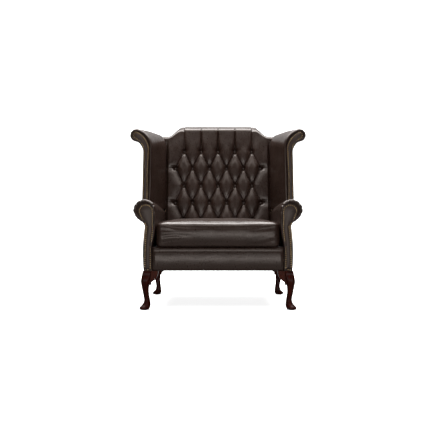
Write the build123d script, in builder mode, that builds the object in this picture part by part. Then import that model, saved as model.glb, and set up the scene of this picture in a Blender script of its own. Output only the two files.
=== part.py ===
from build123d import *
import os
from math import cos, radians, sin

os.makedirs("parts", exist_ok=True)

# A buttoned wing chair for one and a half sitters. It faces -Y, with +X to the right of the picture,
# and stands on Z = 0 with its outline centred on the origin. All lengths are millimetres.

# Fits: one overrun takes every cut right through, one clearance parts pieces that must not bind
overrun = 10
clearance = 0.3

# Seat base, measured over the upholstery
base_half_width = 411
seat_depth = 549
leg_height = 214
rail_height = 90
board = 28
facing_thickness = 8
panel_thickness = 4
border_depth = 28
border_crown = 4
deck_cloth_thickness = 2
deck_height = 132

# Back, leaning in the raked plane
back_rake = 10.5
back_height = 921
back_inset = 69.5
pad_thickness = 95
tuft_depth = 24
strap_thickness = 1.5
strap_width = 50
across_straps = 6
upright_straps = 5
post_lap = 15.5
post_inset = 19
crest_lap = 9
shoulder_inset = 5.5
crest_fall = 54
crest_bulge = 7
crest_cover = 12
top_rail_height = 90
lower_rail_height = 60
pad_foot = 153

# Buttons
button_radius = 9.5
button_height = 6.5
button_margin = 60.25
button_row_pitch = 116.5
top_button_row = 751
button_counts = (5, 6, 5, 6, 5)
well_depth = 4
# Sections of each pillow between the buttons: rise above the pleats and width
pillow_shares = ((0, 1), (0.5, 0.9), (0.85, 0.68), (1, 0.36))

# Arms: the outline of the front, the roll's head and how far the roll falls towards the back
arm_strip = 46
arm_head_height = 333
arm_head_radius = 62
arm_head_inset = 6
arm_inner_bulge = 6
arm_neck_height = 263
arm_neck_inset = 9
arm_neck_bulge = 13
arm_belly = 8
arm_fall = 33
arm_post_depth = 36
arm_rail_width = 68
arm_rail_height = 306
pad_wrap = 8
facing_head_inset = 15
facing_head_height = 326
facing_head_radius = 43
facing_waist_height = 226
facing_lean_rise = 2
facing_neck_height = 242
facing_neck_inset = 14
facing_neck_rise = 4
facing_belly = 4
facing_edge = 2.5

# Wings: front section, rear section and where the inside face turns parallel to the sides
wing_setback = 310
wing_turn = 645
wing_band = 55
wing_front_inset = 8
wing_rear_gap = 1
wing_rear_band = 49.5
wing_lean = 8
wing_waist_height = 701
wing_rear_waist_height = 771
wing_head_reach = 79
wing_head_height = 789
wing_head_radius = 40
wing_head_rise = 31
wing_throat = 12
wing_rear_head_inset = 37
wing_rear_head_height = 828
wing_rear_head_radius = 20
wing_rear_head_rise = 8
wing_under_share = 0.9
wing_foot_rise = 2
wing_margin = 17
wing_facing_drop = 170
wing_facing_rise = 21
wing_post_inset = 9
wing_post_depth = 45
wing_rail_low = 686
wing_rail_high = 726
wing_rear_lining = 14

# Nails
nail_radius = 5.3
nail_height = 3
nail_pitch = 11.5
nail_inset = 7
wing_nail_inset = 6.5

# Legs
leg_top_width = 48
# Sections from the top down: height, reach past the corner of the seat, width and corner rounding
leg_shares = (
    (1, 0.04, 1, 0.16),
    (0.9, 0.14, 1.04, 0.2),
    (0.82, 0.22, 1.06, 0.28),
    (0.725, 0.27, 1.01, 0.34),
    (0.6, 0.2, 0.86, 0.4),
    (0.49, 0.11, 0.74, 0.44),
    (0.38, 0.02, 0.67, 0.47),
    (0.25, -0.07, 0.66, 0.48),
    (0.17, 0, 0.78, 0.48),
    (0.11, 0.17, 0.97, 0.49),
    (0.05, 0.42, 1.17, 0.49),
    (0, 0.36, 1.02, 0.49),
)
glide_height = 3
glide_radius = 15
bracket_length = 34
bracket_root = 31
bracket_height = 80
bracket_thickness = 38
bracket_swell = 18
bracket_waist = 49
bracket_rise = 2
bracket_tip_rise = 5
bolt_radius = 4
bolt_in_frame = 28
bolt_in_leg = 45

# Springs, clips and dust cover
spring_wire = 3.8
spring_pitch = 26
spring_bar = 36
spring_count = 6
spring_side_gap = 38
clip_height = 8
clip_width = 16
clip_depth = 14
block_leg = 70
block_height = 76
dust_thickness = 1.5

# Loose cushion
cushion_side_gap = 26
cushion_height = 151
cushion_front_gap = 4
cushion_rear_gap = 1.5
cushion_corner = 28
cushion_wall = 3
# Sections of the cushion from its underside: height, and how far its sides are drawn in
cushion_shares = (
    (0, 0.04),
    (0.03, 0.012),
    (0.09, 0.003),
    (0.25, 0.012),
    (0.45, 0.017),
    (0.62, 0.012),
    (0.77, 0.001),
    (0.83, 0.012),
    (0.87, 0.045),
    (0.91, 0.12),
    (0.95, 0.23),
    (0.98, 0.37),
    (1, 0.55),
)

# Pieces follow from these: front plane, raked plane and its layers
back_half_width = base_half_width - back_inset
post_inner = back_half_width - post_lap
post_outer = base_half_width - post_inset
button_pitch = (back_half_width - button_margin) / ((max(button_counts) - 1) / 2)
crest_half_width = button_pitch * (min(button_counts) - 1) / 2 + crest_lap
shoulder_start = back_half_width - shoulder_inset
wing_front_inner = base_half_width - wing_front_inset
wing_rear_inner = back_half_width + wing_rear_gap
wing_head_x = base_half_width + wing_head_reach
wing_rear_head_x = base_half_width - wing_rear_head_inset
cushion_half_width = base_half_width - arm_strip - cushion_side_gap
arm_bend_height = deck_height + clearance
rake_sin = sin(radians(back_rake))
rake_cos = cos(radians(back_rake))
frame_depth = pad_thickness + 2 * strap_thickness
outside_depth = frame_depth + board
back_thickness = outside_depth + panel_thickness
toe_reach = max(reach for _, reach, _, _ in leg_shares) * leg_top_width
chair_depth = toe_reach + seat_depth + back_height * rake_sin + back_thickness * rake_cos
front_y = toe_reach - chair_depth / 2
back_y = front_y + seat_depth
rear_corner_y = back_y + back_thickness / rake_cos
frame_inner = base_half_width - panel_thickness - board - clearance
frame_outer = frame_inner + board
rail_plane = Plane.XY.offset(leg_height)
rail_top = leg_height + rail_height
deck_bottom = rail_top + clip_height
deck_top = leg_height + deck_height
back_plane = Plane(origin=(0, back_y, leg_height), x_dir=(1, 0, 0), z_dir=(0, -rake_cos, rake_sin))
frame_plane = back_plane.offset(-frame_depth)


def frame_y(height):
    """Depth of the frame's front face at a height above the floor."""
    return back_y + frame_depth / rake_cos + (height - leg_height) * rake_sin / rake_cos


arm_front = front_y + facing_thickness
arm_end = frame_y(leg_height + arm_head_height + arm_head_radius) + overrun
wing_front = front_y + wing_setback
wing_turn_y = front_y + wing_turn
wing_end = frame_y(leg_height + back_height) + overrun


def arm_drop(y):
    """How far the arm's roll has fallen at a depth."""
    return arm_fall * (y - arm_front) / (arm_end - arm_front)


def finish(piece, name):
    """Labels one finished piece and writes it."""
    piece.part.label = name
    export_step(piece.part, f"parts/{name}.step")


def finish_pair(piece, name):
    """Writes a piece of the right side and its mirror image on the left."""
    with BuildPart() as twin:
        mirror(piece.part, about=Plane.YZ)
    finish(piece, f"{name}_right")
    finish(twin, f"{name}_left")


def quarter(radius):
    """Rise of a quarter circle over its chord."""
    return radius * (1 - cos(radians(45)))


def outline(*steps):
    """Face inside an outline of points, each with the rise of the arc that leads on to the next one."""
    with BuildSketch() as shape:
        with BuildLine():
            for (point, rise), (following, _) in zip(steps, steps[1:] + steps[:1]):
                if rise:
                    SagittaArc(point, following, rise)
                else:
                    Line(point, following)
        make_face()
    return shape.sketch


def polygon(*points):
    """Face inside a closed run of straight lines."""
    return outline(*[(point, 0) for point in points])


def dome(radius, height):
    """Cap of a sphere standing on the XY plane."""
    sphere_radius = (radius**2 + height**2) / (2 * height)
    with BuildPart() as cap:
        with Locations((0, 0, height - sphere_radius)):
            Sphere(sphere_radius)
        split(bisect_by=Plane.XY, keep=Keep.TOP)
    return cap.part


def upright(y):
    """Plane across the chair at a depth, with X to the right and Y upwards."""
    return Plane.XZ.offset(-y)


# Sections of the arm and of the wing


def arm_section(drop):
    """Padded arm from the front: strip, inner face, roll and underside of the roll."""
    inner = base_half_width - arm_strip
    head_x = base_half_width - arm_head_inset
    head = leg_height + arm_head_height - drop
    neck = leg_height + arm_neck_height - drop
    round_rise = quarter(arm_head_radius)
    return outline(
        ((inner, leg_height), 0),
        ((inner, leg_height + arm_bend_height), arm_inner_bulge),
        ((head_x - arm_head_radius, head), round_rise),
        ((head_x, head + arm_head_radius), round_rise),
        ((head_x + arm_head_radius, head), arm_neck_bulge),
        ((base_half_width - arm_neck_inset, neck), arm_belly),
        ((base_half_width, leg_height), 0),
    )


def wing_section(foot, inner, outer, lean, waist, head, radius, under_share, rise, throat):
    """Padded wing: inner face, outward scroll and outer face, from its foot in the arm's roll."""
    head_x, head_z = head
    round_rise = quarter(radius)
    return outline(
        ((inner, foot), 0),
        ((inner - lean, waist), rise),
        ((head_x, head_z + radius), round_rise),
        ((head_x + radius, head_z), (1 - under_share) * round_rise + under_share * clearance),
        ((head_x + under_share * radius, head_z - radius), -throat),
        ((outer - lean, waist), 0),
        ((outer, foot), 0),
    )


with BuildPart() as arm_form:
    with BuildSketch(upright(arm_front)):
        add(arm_section(0))
    with BuildSketch(upright(arm_end)):
        add(arm_section(arm_fall))
    loft(ruled=True)
    split(bisect_by=frame_plane, keep=Keep.TOP)

with BuildPart() as wing_shell:
    with BuildSketch(upright(wing_front + facing_thickness)):
        add(
            wing_section(
                leg_height + arm_head_height - arm_drop(wing_front) + wing_foot_rise,
                wing_front_inner,
                wing_front_inner + wing_band,
                wing_lean,
                leg_height + wing_waist_height,
                (wing_head_x, leg_height + wing_head_height),
                wing_head_radius,
                0,
                wing_head_rise,
                wing_throat,
            )
        )
    for depth in (wing_turn_y, wing_end):
        with BuildSketch(upright(depth)):
            add(
                wing_section(
                    leg_height + arm_head_height - arm_fall + wing_foot_rise,
                    wing_rear_inner,
                    wing_rear_inner + wing_rear_band,
                    0,
                    leg_height + wing_rear_waist_height,
                    (wing_rear_head_x, leg_height + wing_rear_head_height),
                    wing_rear_head_radius,
                    wing_under_share,
                    wing_rear_head_rise,
                    clearance,
                )
            )
    loft(ruled=True)
    split(bisect_by=frame_plane, keep=Keep.TOP)

with BuildPart() as wing_form:
    add(wing_shell.part)
    add(arm_form.part, mode=Mode.SUBTRACT)

# Bolts hold each leg under the post above it
leg_centre = leg_shares[0][1] * leg_top_width - leg_top_width / 2
bolt_x = base_half_width + leg_centre
front_bolt_y = front_y - leg_centre
rear_bolt_y = rear_corner_y + leg_centre
leg_mirror = Plane.XZ.offset(-(front_y + rear_corner_y) / 2)


def bolt(radius, below, above):
    """One round solid through the meeting of a leg and its post."""
    with BuildPart(Plane.XY.offset(leg_height - below)) as shank:
        for bolt_y in (front_bolt_y, rear_bolt_y):
            with Locations((bolt_x, bolt_y)):
                Cylinder(radius, below + above, align=(Align.CENTER, Align.CENTER, Align.MIN))
    return shank.part


bolt_hole = bolt(bolt_radius + clearance / 2, bolt_in_leg, bolt_in_frame)

# Seat frame

with BuildPart(rail_plane) as front_rail:
    with Locations((0, front_y + border_depth + board / 2)):
        Box(2 * frame_inner, board, rail_height, align=(Align.CENTER, Align.CENTER, Align.MIN))
finish(front_rail, "front_rail")

panel_inside = arm_form.part.moved(Location((-panel_thickness, 0, 0)))
with BuildPart() as arm_post:
    with BuildSketch(rail_plane):
        with Locations((frame_inner, arm_front)):
            Rectangle(board, arm_post_depth, align=(Align.MIN, Align.MIN))
    extrude(amount=arm_rail_height)
    add(panel_inside.moved(Location((-clearance, 0, 0))), mode=Mode.INTERSECT)
    add(bolt_hole, mode=Mode.SUBTRACT)

with BuildPart(rail_plane) as side_rail:
    with Locations((frame_inner, arm_front + arm_post_depth)):
        Box(board, arm_end - arm_front, rail_height, align=Align.MIN)
    split(bisect_by=frame_plane, keep=Keep.TOP)
finish_pair(side_rail, "side_rail")

with BuildPart() as rear_rail:
    with BuildSketch(frame_plane.offset(-board)):
        Rectangle(2 * post_inner, 2 * (rail_height + board))
    extrude(amount=board)
    split(bisect_by=rail_plane, keep=Keep.TOP)
    split(bisect_by=Plane.XY.offset(rail_top), keep=Keep.BOTTOM)
finish(rear_rail, "rear_rail")

with BuildPart() as corner_blocks:
    block_base = leg_height + (rail_height - block_height) / 2
    front_inside = front_y + border_depth + board
    rear_inside = frame_y(block_base)
    with BuildSketch(Plane.XY.offset(block_base)):
        for x_side in (-1, 1):
            corner_x = x_side * frame_inner
            for inside, turn in ((front_inside, 1), (rear_inside, -1)):
                add(
                    polygon(
                        (corner_x, inside),
                        (corner_x - x_side * block_leg, inside),
                        (corner_x, inside + turn * block_leg),
                    )
                )
    extrude(amount=block_height)
finish(corner_blocks, "corner_blocks")

# Back frame


def back_face(half_width, low, drop):
    """Outline of the back in the raked plane: flat crest, S-shaped fall, level shoulders, plain sides."""
    crest = back_height - drop
    shoulder = crest - crest_fall
    fall_x = (crest_half_width + shoulder_start) / 2
    with BuildSketch() as face:
        add(
            outline(
                ((0, low), 0),
                ((0, crest), 0),
                ((crest_half_width, crest), crest_bulge),
                ((fall_x, (crest + shoulder) / 2), -crest_bulge),
                ((shoulder_start, shoulder), 0),
                ((half_width, shoulder), 0),
                ((half_width, low), 0),
            )
        )
        mirror(about=Plane.YZ)
    return face.sketch


arm_level = arm_head_height - arm_head_radius
shoulder_level = back_height - crest_fall - crest_cover
wing_level = arm_head_height + arm_head_radius

with BuildPart() as back_post:
    with BuildSketch(frame_plane.offset(-board)):
        add(
            polygon(
                (post_inner, -board),
                (post_inner, shoulder_level),
                (post_outer, shoulder_level),
                (post_outer, wing_level),
                (frame_outer, arm_level),
                (frame_outer, -board),
            )
        )
    extrude(amount=board)
    split(bisect_by=rail_plane, keep=Keep.TOP)
    add(bolt_hole, mode=Mode.SUBTRACT)

with BuildPart() as back_top_rail:
    with BuildSketch(frame_plane.offset(-board)):
        add(back_face(post_outer, back_height - top_rail_height, crest_cover))
        with Locations((0, back_height)):
            Rectangle(2 * post_inner, back_height, mode=Mode.INTERSECT)
    extrude(amount=board)
finish(back_top_rail, "back_top_rail")

with BuildPart() as back_lower_rail:
    with BuildSketch(frame_plane.offset(-board)):
        with Locations((0, pad_foot + lower_rail_height / 2)):
            Rectangle(2 * post_inner, lower_rail_height)
    extrude(amount=board)
finish(back_lower_rail, "back_lower_rail")

# Arm frame: the rail on top of the post carries the wing's post further back


arm_rail_low = leg_height + arm_rail_height
arm_rail_high = arm_rail_low + board
arm_rail_start = arm_front + pad_wrap
arm_rail_drop = arm_drop(arm_rail_start)

with BuildPart() as arm_rail:
    with BuildSketch(Plane.YZ.offset(frame_inner)):
        add(
            polygon(
                (arm_rail_start, arm_rail_low - arm_rail_drop),
                (arm_rail_start, arm_rail_high - arm_rail_drop),
                (arm_end, arm_rail_high - arm_fall),
                (arm_end, arm_rail_low - arm_fall),
            )
        )
    extrude(amount=arm_rail_width)
    split(bisect_by=frame_plane, keep=Keep.TOP)
    add(arm_post.part, mode=Mode.SUBTRACT)
finish_pair(arm_post, "arm_post")
finish_pair(arm_rail, "arm_rail")

# Wing frame: the post stands on the arm rail, the rail runs back to the back post

wing_post_start = wing_front + facing_thickness + pad_wrap
wing_post_end = wing_post_start + wing_post_depth
wing_post_x = wing_front_inner + wing_post_inset
wing_rail_x = wing_rear_inner + wing_rear_lining

with BuildPart() as wing_post:
    with BuildSketch(Plane.YZ.offset(wing_post_x)):
        add(
            polygon(
                (wing_post_start, arm_rail_high - arm_drop(wing_post_start)),
                (wing_post_start, leg_height + wing_rail_high),
                (wing_post_end, leg_height + wing_rail_high),
                (wing_post_end, arm_rail_high - arm_drop(wing_post_end)),
            )
        )
    extrude(amount=board)


def wing_strip(outer_front, outer_rear):
    """Plan of the wing's frame, from the front post to the back post."""
    return polygon(
        (wing_post_x, wing_post_end),
        (outer_front, wing_post_end),
        (outer_rear, wing_turn_y),
        (outer_rear, wing_end),
        (wing_rail_x, wing_end),
        (wing_rail_x, wing_turn_y),
    )


with BuildPart() as wing_rail:
    with BuildSketch(Plane.XY.offset(leg_height + wing_rail_low)):
        add(wing_strip(wing_post_x + board, wing_rail_x + board))
    extrude(amount=wing_rail_high - wing_rail_low)
    split(bisect_by=frame_plane, keep=Keep.TOP)

finish_pair(back_post, "back_post")
finish_pair(wing_post, "wing_post")
finish_pair(wing_rail, "wing_rail")

# Springs and deck

spring_reach = post_inner - spring_side_gap - clip_width / 2
spring_spacing = 2 * spring_reach / (spring_count - 1)
spring_z = rail_top + clip_height / 2
spring_front = front_y + border_depth + board / 2
spring_bars = 2 * round((frame_y(rail_top) + board / 2 - spring_front) / spring_pitch / 2)
spring_step = (frame_y(rail_top) + board / 2 - spring_front) / spring_bars

with BuildPart() as seat_springs:
    with BuildLine(Plane.XY.offset(spring_z)) as zigzag:
        for bar in range(spring_bars + 1):
            side = 1 if bar % 2 else -1
            bar_y = spring_front + bar * spring_step
            Line((side * spring_bar / 2, bar_y), (-side * spring_bar / 2, bar_y))
            if bar < spring_bars:
                end_x = -side * spring_bar / 2
                SagittaArc((end_x, bar_y), (end_x, bar_y + spring_step), side * spring_step / 2)
    for spring in range(spring_count):
        spring_x = (spring - (spring_count - 1) / 2) * spring_spacing
        start = Vector(spring_x - spring_bar / 2, spring_front, spring_z)
        with BuildSketch(Plane(origin=start, x_dir=(0, 1, 0), z_dir=(1, 0, 0))):
            Circle(spring_wire / 2)
        sweep(path=zigzag.line.moved(Location((spring_x, 0, 0))))
finish(seat_springs, "seat_springs")

with BuildPart() as spring_clips:
    with BuildSketch(Plane.XY.offset(rail_top)):
        for end_y in (spring_front, spring_front + spring_bars * spring_step):
            with Locations((0, end_y)):
                with GridLocations(spring_spacing, 0, spring_count, 1):
                    Rectangle(clip_width, clip_depth)
    extrude(amount=clip_height)
    with BuildSketch(Plane.YZ):
        with Locations((spring_front, spring_z), (spring_front + spring_bars * spring_step, spring_z)):
            Circle(spring_wire / 2 + clearance / 2)
    extrude(amount=base_half_width, both=True, mode=Mode.SUBTRACT)
finish(spring_clips, "spring_clips")

deck_half_width = base_half_width - arm_strip - clearance
deck_front = front_y + border_depth
deck_rear = frame_y(deck_bottom) - clearance

with BuildPart() as deck_cloth:
    with BuildSketch(Plane.XY.offset(deck_bottom)):
        with Locations((0, (deck_front + deck_rear) / 2)):
            Rectangle(2 * deck_half_width, deck_rear - deck_front)
    extrude(amount=deck_cloth_thickness)
finish(deck_cloth, "deck_cloth")

with BuildPart() as deck_pad:
    with BuildSketch(Plane.XY.offset(deck_bottom + deck_cloth_thickness)):
        with Locations((0, (deck_front + deck_rear) / 2)):
            Rectangle(2 * deck_half_width, deck_rear - deck_front)
    extrude(amount=deck_top - deck_bottom - deck_cloth_thickness)
finish(deck_pad, "deck_pad")

with BuildPart() as front_border:
    with BuildSketch(Plane.YZ.offset(-deck_half_width)):
        add(
            outline(
                ((deck_front, leg_height), 0),
                ((front_y + border_crown, leg_height), border_crown),
                ((front_y + border_crown, deck_top), 0),
                ((deck_front, deck_top), 0),
            )
        )
    extrude(amount=2 * deck_half_width)
finish(front_border, "front_border")

# Arm upholstery

arm_neck = leg_height + arm_neck_height

# Everything outside the frame's inner face and below the roll: open but for the frame and the panel
with BuildPart() as arm_hollow:
    with BuildSketch(Plane.YZ.offset(frame_inner)):
        add(
            polygon(
                (arm_front, 0),
                (arm_front, arm_neck),
                (arm_end, arm_neck - arm_fall),
                (arm_end, 0),
            )
        )
    extrude(amount=base_half_width)

with BuildPart() as arm_pad:
    add(arm_form.part)
    split(bisect_by=Plane.XY.offset(deck_bottom), keep=Keep.TOP)
    add(arm_hollow.part, mode=Mode.SUBTRACT)
    add(arm_post.part, mode=Mode.SUBTRACT)
    add(arm_rail.part, mode=Mode.SUBTRACT)
    add(wing_post.part, mode=Mode.SUBTRACT)
finish_pair(arm_pad, "arm_pad")

with BuildPart() as arm_outside:
    add(arm_form.part)
    add(arm_hollow.part, mode=Mode.INTERSECT)
    add(panel_inside, mode=Mode.SUBTRACT)
finish_pair(arm_outside, "arm_outside")

facing_inner = base_half_width - arm_strip
facing_head_x = base_half_width - facing_head_inset
facing_head = leg_height + facing_head_height
facing_round = quarter(facing_head_radius)
arm_facing_face = outline(
    ((facing_inner, leg_height), 0),
    ((facing_inner, leg_height + arm_bend_height), facing_lean_rise),
    ((facing_head_x - facing_head_radius, leg_height + facing_waist_height), 0),
    ((facing_head_x - facing_head_radius, facing_head), facing_round),
    ((facing_head_x, facing_head + facing_head_radius), facing_round),
    ((facing_head_x + facing_head_radius, facing_head), facing_neck_rise),
    ((base_half_width - facing_neck_inset, leg_height + facing_neck_height), facing_belly),
    ((base_half_width - facing_edge, leg_height), 0),
)

with BuildPart() as arm_facing:
    with BuildSketch(upright(arm_front)):
        add(arm_facing_face)
    extrude(amount=facing_thickness)
finish_pair(arm_facing, "arm_facing")

# Wing upholstery

wing_inner_top = wing_front_inner - wing_lean
wing_outer = wing_front_inner + wing_band
wing_waist = leg_height + wing_waist_height
wing_head = leg_height + wing_head_height
wing_far = wing_head_x + wing_head_radius + overrun
wing_rail_plane = Plane.XY.offset(leg_height + wing_rail_low)

# Everything outside the frame's inner face and below the wing rail
with BuildPart() as wing_hollow:
    with BuildSketch(wing_rail_plane):
        add(
            polygon(
                (wing_post_x, wing_post_start),
                (wing_far, wing_post_start),
                (wing_far, wing_end),
                (wing_rail_x, wing_end),
                (wing_rail_x, wing_turn_y),
                (wing_post_x, wing_post_end),
            )
        )
    extrude(amount=-wing_rail_low)

with BuildPart() as wing_pad:
    add(wing_form.part)
    add(wing_hollow.part, mode=Mode.SUBTRACT)
    add(wing_post.part, mode=Mode.SUBTRACT)
    add(wing_rail.part, mode=Mode.SUBTRACT)
finish_pair(wing_pad, "wing_pad")

with BuildPart() as wing_outside:
    add(wing_form.part)
    add(wing_hollow.part, mode=Mode.INTERSECT)
    add(wing_shell.part.moved(Location((-panel_thickness, 0, 0))), mode=Mode.SUBTRACT)
    add(wing_post.part, mode=Mode.SUBTRACT)
finish_pair(wing_outside, "wing_outside")

wing_facing_face = outline(
    ((wing_front_inner + wing_margin, leg_height + arm_head_height), 0),
    ((wing_front_inner + wing_margin, wing_waist - wing_facing_drop), 0),
    ((wing_inner_top + wing_margin, wing_waist), wing_facing_rise),
    ((wing_head_x, wing_head + wing_head_radius - wing_margin), quarter(wing_head_radius - wing_margin)),
    ((wing_head_x + wing_head_radius - wing_margin, wing_head), quarter(wing_margin)),
    ((wing_head_x + wing_margin / 2, wing_head - wing_head_radius + wing_margin), -wing_throat),
    ((wing_outer - wing_lean, wing_waist - wing_margin / 2), 0),
    ((wing_outer, leg_height + arm_head_height), 0),
)

with BuildPart() as wing_facing:
    with BuildSketch(upright(wing_front + facing_thickness)):
        add(wing_facing_face)
    extrude(amount=facing_thickness)
    add(arm_form.part, mode=Mode.SUBTRACT)
finish_pair(wing_facing, "wing_facing")

# Nails follow the facings a little inside their edges


def nail_row(face, inset, lowest):
    """Places of the nails round a facing, leaving out those that would lie in the arm's roll."""
    edge = offset(face, amount=-inset, kind=Kind.ARC).face().outer_wire()
    count = round(edge.length / nail_pitch)
    places = []
    for nail in range(count):
        place = edge.position_at(nail / count)
        apart = min([(place - other).length for other in places], default=nail_pitch)
        if place.Y > lowest and apart > 2 * nail_radius:
            places.append(place)
    return [(place.X, place.Y) for place in places]


nail = dome(nail_radius, nail_height)

with BuildPart(upright(front_y)) as arm_nails:
    with Locations(*nail_row(arm_facing_face, nail_inset, 0)):
        add(nail)
finish_pair(arm_nails, "arm_nails")

roll_top = leg_height + arm_head_height + arm_head_radius - arm_drop(wing_front)
with BuildPart(upright(wing_front)) as wing_nails:
    with Locations(*nail_row(wing_facing_face, wing_nail_inset, roll_top + nail_radius)):
        add(nail)
finish_pair(wing_nails, "wing_nails")

# Back: webbing, tufted pad, buttons and outside panel

with BuildPart() as back_webbing:
    strap_low = pad_foot + strap_width
    strap_high = back_height - crest_fall - crest_cover - strap_width
    across_step = (strap_high - strap_low) / (across_straps - 1)
    with BuildSketch(frame_plane):
        with Locations((0, (strap_low + strap_high) / 2)):
            with GridLocations(0, across_step, 1, across_straps):
                Rectangle(2 * back_half_width - 2 * clearance, strap_width)
    extrude(amount=strap_thickness)
    with BuildSketch(frame_plane.offset(strap_thickness)):
        with Locations((0, (pad_foot + back_height - crest_cover - overrun) / 2)):
            with GridLocations(button_pitch, 0, upright_straps, 1):
                Rectangle(strap_width, back_height - crest_cover - overrun - pad_foot)
    extrude(amount=strap_thickness)
finish(back_webbing, "back_webbing")

button_rows = [
    (
        top_button_row - row * button_row_pitch,
        [(place - (count - 1) / 2) * button_pitch for place in range(count)],
    )
    for row, count in enumerate(button_counts)
]


def tuft_cells():
    """Outlines of the pillows between the buttons: diamonds inside, flutes and half cells outside."""
    half = back_half_width
    step = button_pitch / 2
    crest = back_height
    shoulder = crest - crest_fall
    low = pad_foot
    cells = []
    for (high, places), (middle, _), (lower, _) in zip(button_rows, button_rows[1:], button_rows[2:]):
        inner = places if len(places) < max(button_counts) else places[1:-1]
        cells += [((x, high), (x + step, middle), (x, lower), (x - step, middle)) for x in inner]
    (first, ends), (second, wide) = button_rows[0], button_rows[1]
    (fourth, _), (last, _) = button_rows[3], button_rows[4]
    third = button_rows[2][0]
    for left, right in zip(ends, ends[1:]):
        cells.append(((left, first), (left, crest), (right, crest), (right, first), (left + step, second)))
        cells.append(((left, last), (left, low), (right, low), (right, last), (left + step, fourth)))
    for side in (-1, 1):
        end = side * ends[-1]
        outer = side * wide[-1]
        edge = side * half
        fall_x = side * (crest_half_width + shoulder_start) / 2
        cells.append(
            (
                (end, first),
                (end, crest),
                (fall_x, (crest + shoulder) / 2),
                (edge, shoulder),
                (edge, second),
                (outer, second),
            )
        )
        cells.append(((end, third), (outer, second), (edge, second), (edge, fourth), (outer, fourth)))
        cells.append(((end, last), (outer, fourth), (edge, fourth), (edge, low), (end, low)))
    return cells


def pillow_sections(cell):
    """The rising sections of one pillow: each is the cell drawn in about its middle."""
    middle_x = sum(x for x, _ in cell) / len(cell)
    middle_s = sum(height for _, height in cell) / len(cell)
    for rise_share, width_share in pillow_shares:
        points = [
            (middle_x + (x - middle_x) * width_share, middle_s + (height - middle_s) * width_share)
            for x, height in cell
        ]
        yield back_plane.offset(-tuft_depth * (1 - rise_share)), polygon(*points)


with BuildPart() as back_pad:
    with BuildSketch(back_plane.offset(-pad_thickness)):
        add(back_face(back_half_width, pad_foot, 0))
    extrude(amount=pad_thickness - tuft_depth)
    for half_width, far, near in (
        (post_outer, outside_depth, frame_depth),
        (back_half_width, frame_depth, pad_thickness),
    ):
        with BuildSketch(back_plane.offset(-far)):
            add(back_face(half_width, wing_level, 0))
            add(back_face(half_width + overrun, 0, crest_cover), mode=Mode.SUBTRACT)
        extrude(amount=far - near)
    for cell in tuft_cells():
        for plane, section in pillow_sections(cell):
            with BuildSketch(plane):
                add(section)
        loft()
    with BuildSketch(back_plane.offset(-tuft_depth - well_depth)):
        for height, places in button_rows:
            with Locations(*[(x, height) for x in places]):
                Circle(button_radius + clearance)
    extrude(amount=tuft_depth + well_depth + overrun, mode=Mode.SUBTRACT)
finish(back_pad, "back_pad")

button = dome(button_radius, button_height)

with BuildPart(back_plane.offset(-tuft_depth - well_depth + clearance)) as back_buttons:
    for height, places in button_rows:
        with Locations(*[(x, height) for x in places]):
            add(button)
finish(back_buttons, "back_buttons")

with BuildPart() as back_outside:
    outer = post_outer + panel_thickness
    with BuildSketch(back_plane.offset(-back_thickness)):
        add(back_face(outer, wing_level, 0))
        add(
            polygon(
                (-base_half_width, -board),
                (-base_half_width, arm_level),
                (-outer, wing_level),
                (outer, wing_level),
                (base_half_width, arm_level),
                (base_half_width, -board),
            )
        )
    extrude(amount=panel_thickness)
    split(bisect_by=rail_plane, keep=Keep.TOP)
finish(back_outside, "back_outside")

with BuildPart() as back_side:
    with BuildSketch(frame_plane.offset(-board)):
        add(
            polygon(
                (base_half_width, -board),
                (base_half_width, arm_level),
                (outer, wing_level),
                (outer, back_height - crest_fall),
                (post_outer, back_height - crest_fall),
                (post_outer, wing_level),
                (base_half_width - panel_thickness, arm_level),
                (base_half_width - panel_thickness, -board),
            )
        )
    extrude(amount=board)
    split(bisect_by=rail_plane, keep=Keep.TOP)
finish_pair(back_side, "back_side")

# Legs, their brackets, bolts and glides

with BuildPart() as leg:
    for height_share, reach_share, width_share, round_share in leg_shares:
        width = width_share * leg_top_width
        reach = reach_share * leg_top_width - width / 2
        with BuildSketch(Plane.XY.offset(glide_height + height_share * (leg_height - glide_height))):
            with Locations((base_half_width + reach, front_y - reach)):
                RectangleRounded(width, width, round_share * width)
    loft()

bracket_in = base_half_width + leg_centre
bracket_tip_x = base_half_width - leg_top_width - bracket_length
with BuildPart() as brackets:
    with BuildSketch(upright(front_y - leg_centre + bracket_thickness / 2)):
        add(
            outline(
                ((bracket_in, leg_height - bracket_height), 0),
                ((base_half_width - bracket_root, leg_height - bracket_height), -bracket_rise),
                ((bracket_tip_x + bracket_swell, leg_height - bracket_waist), bracket_tip_rise),
                ((bracket_tip_x, leg_height), 0),
                ((bracket_in, leg_height), 0),
            )
        )
    extrude(amount=bracket_thickness)
    add(leg.part, mode=Mode.SUBTRACT)

diagonal = Plane(origin=(base_half_width, front_y, 0), x_dir=(0, 0, 1), z_dir=(1, 1, 0))
with BuildPart() as knee_brackets:
    add(brackets.part)
    mirror(brackets.part, about=diagonal)
    mirror(about=leg_mirror)
    mirror(about=Plane.YZ)
finish(knee_brackets, "knee_brackets")

with BuildPart() as drilled_leg:
    add(leg.part)
    add(bolt_hole, mode=Mode.SUBTRACT)
finish_pair(drilled_leg, "leg_front")

with BuildPart() as rear_leg:
    mirror(drilled_leg.part, about=leg_mirror)
finish_pair(rear_leg, "leg_rear")

with BuildPart() as leg_bolts:
    add(bolt(bolt_radius, bolt_in_leg - clearance, bolt_in_frame - clearance))
    mirror(about=Plane.YZ)
finish(leg_bolts, "leg_bolts")

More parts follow.
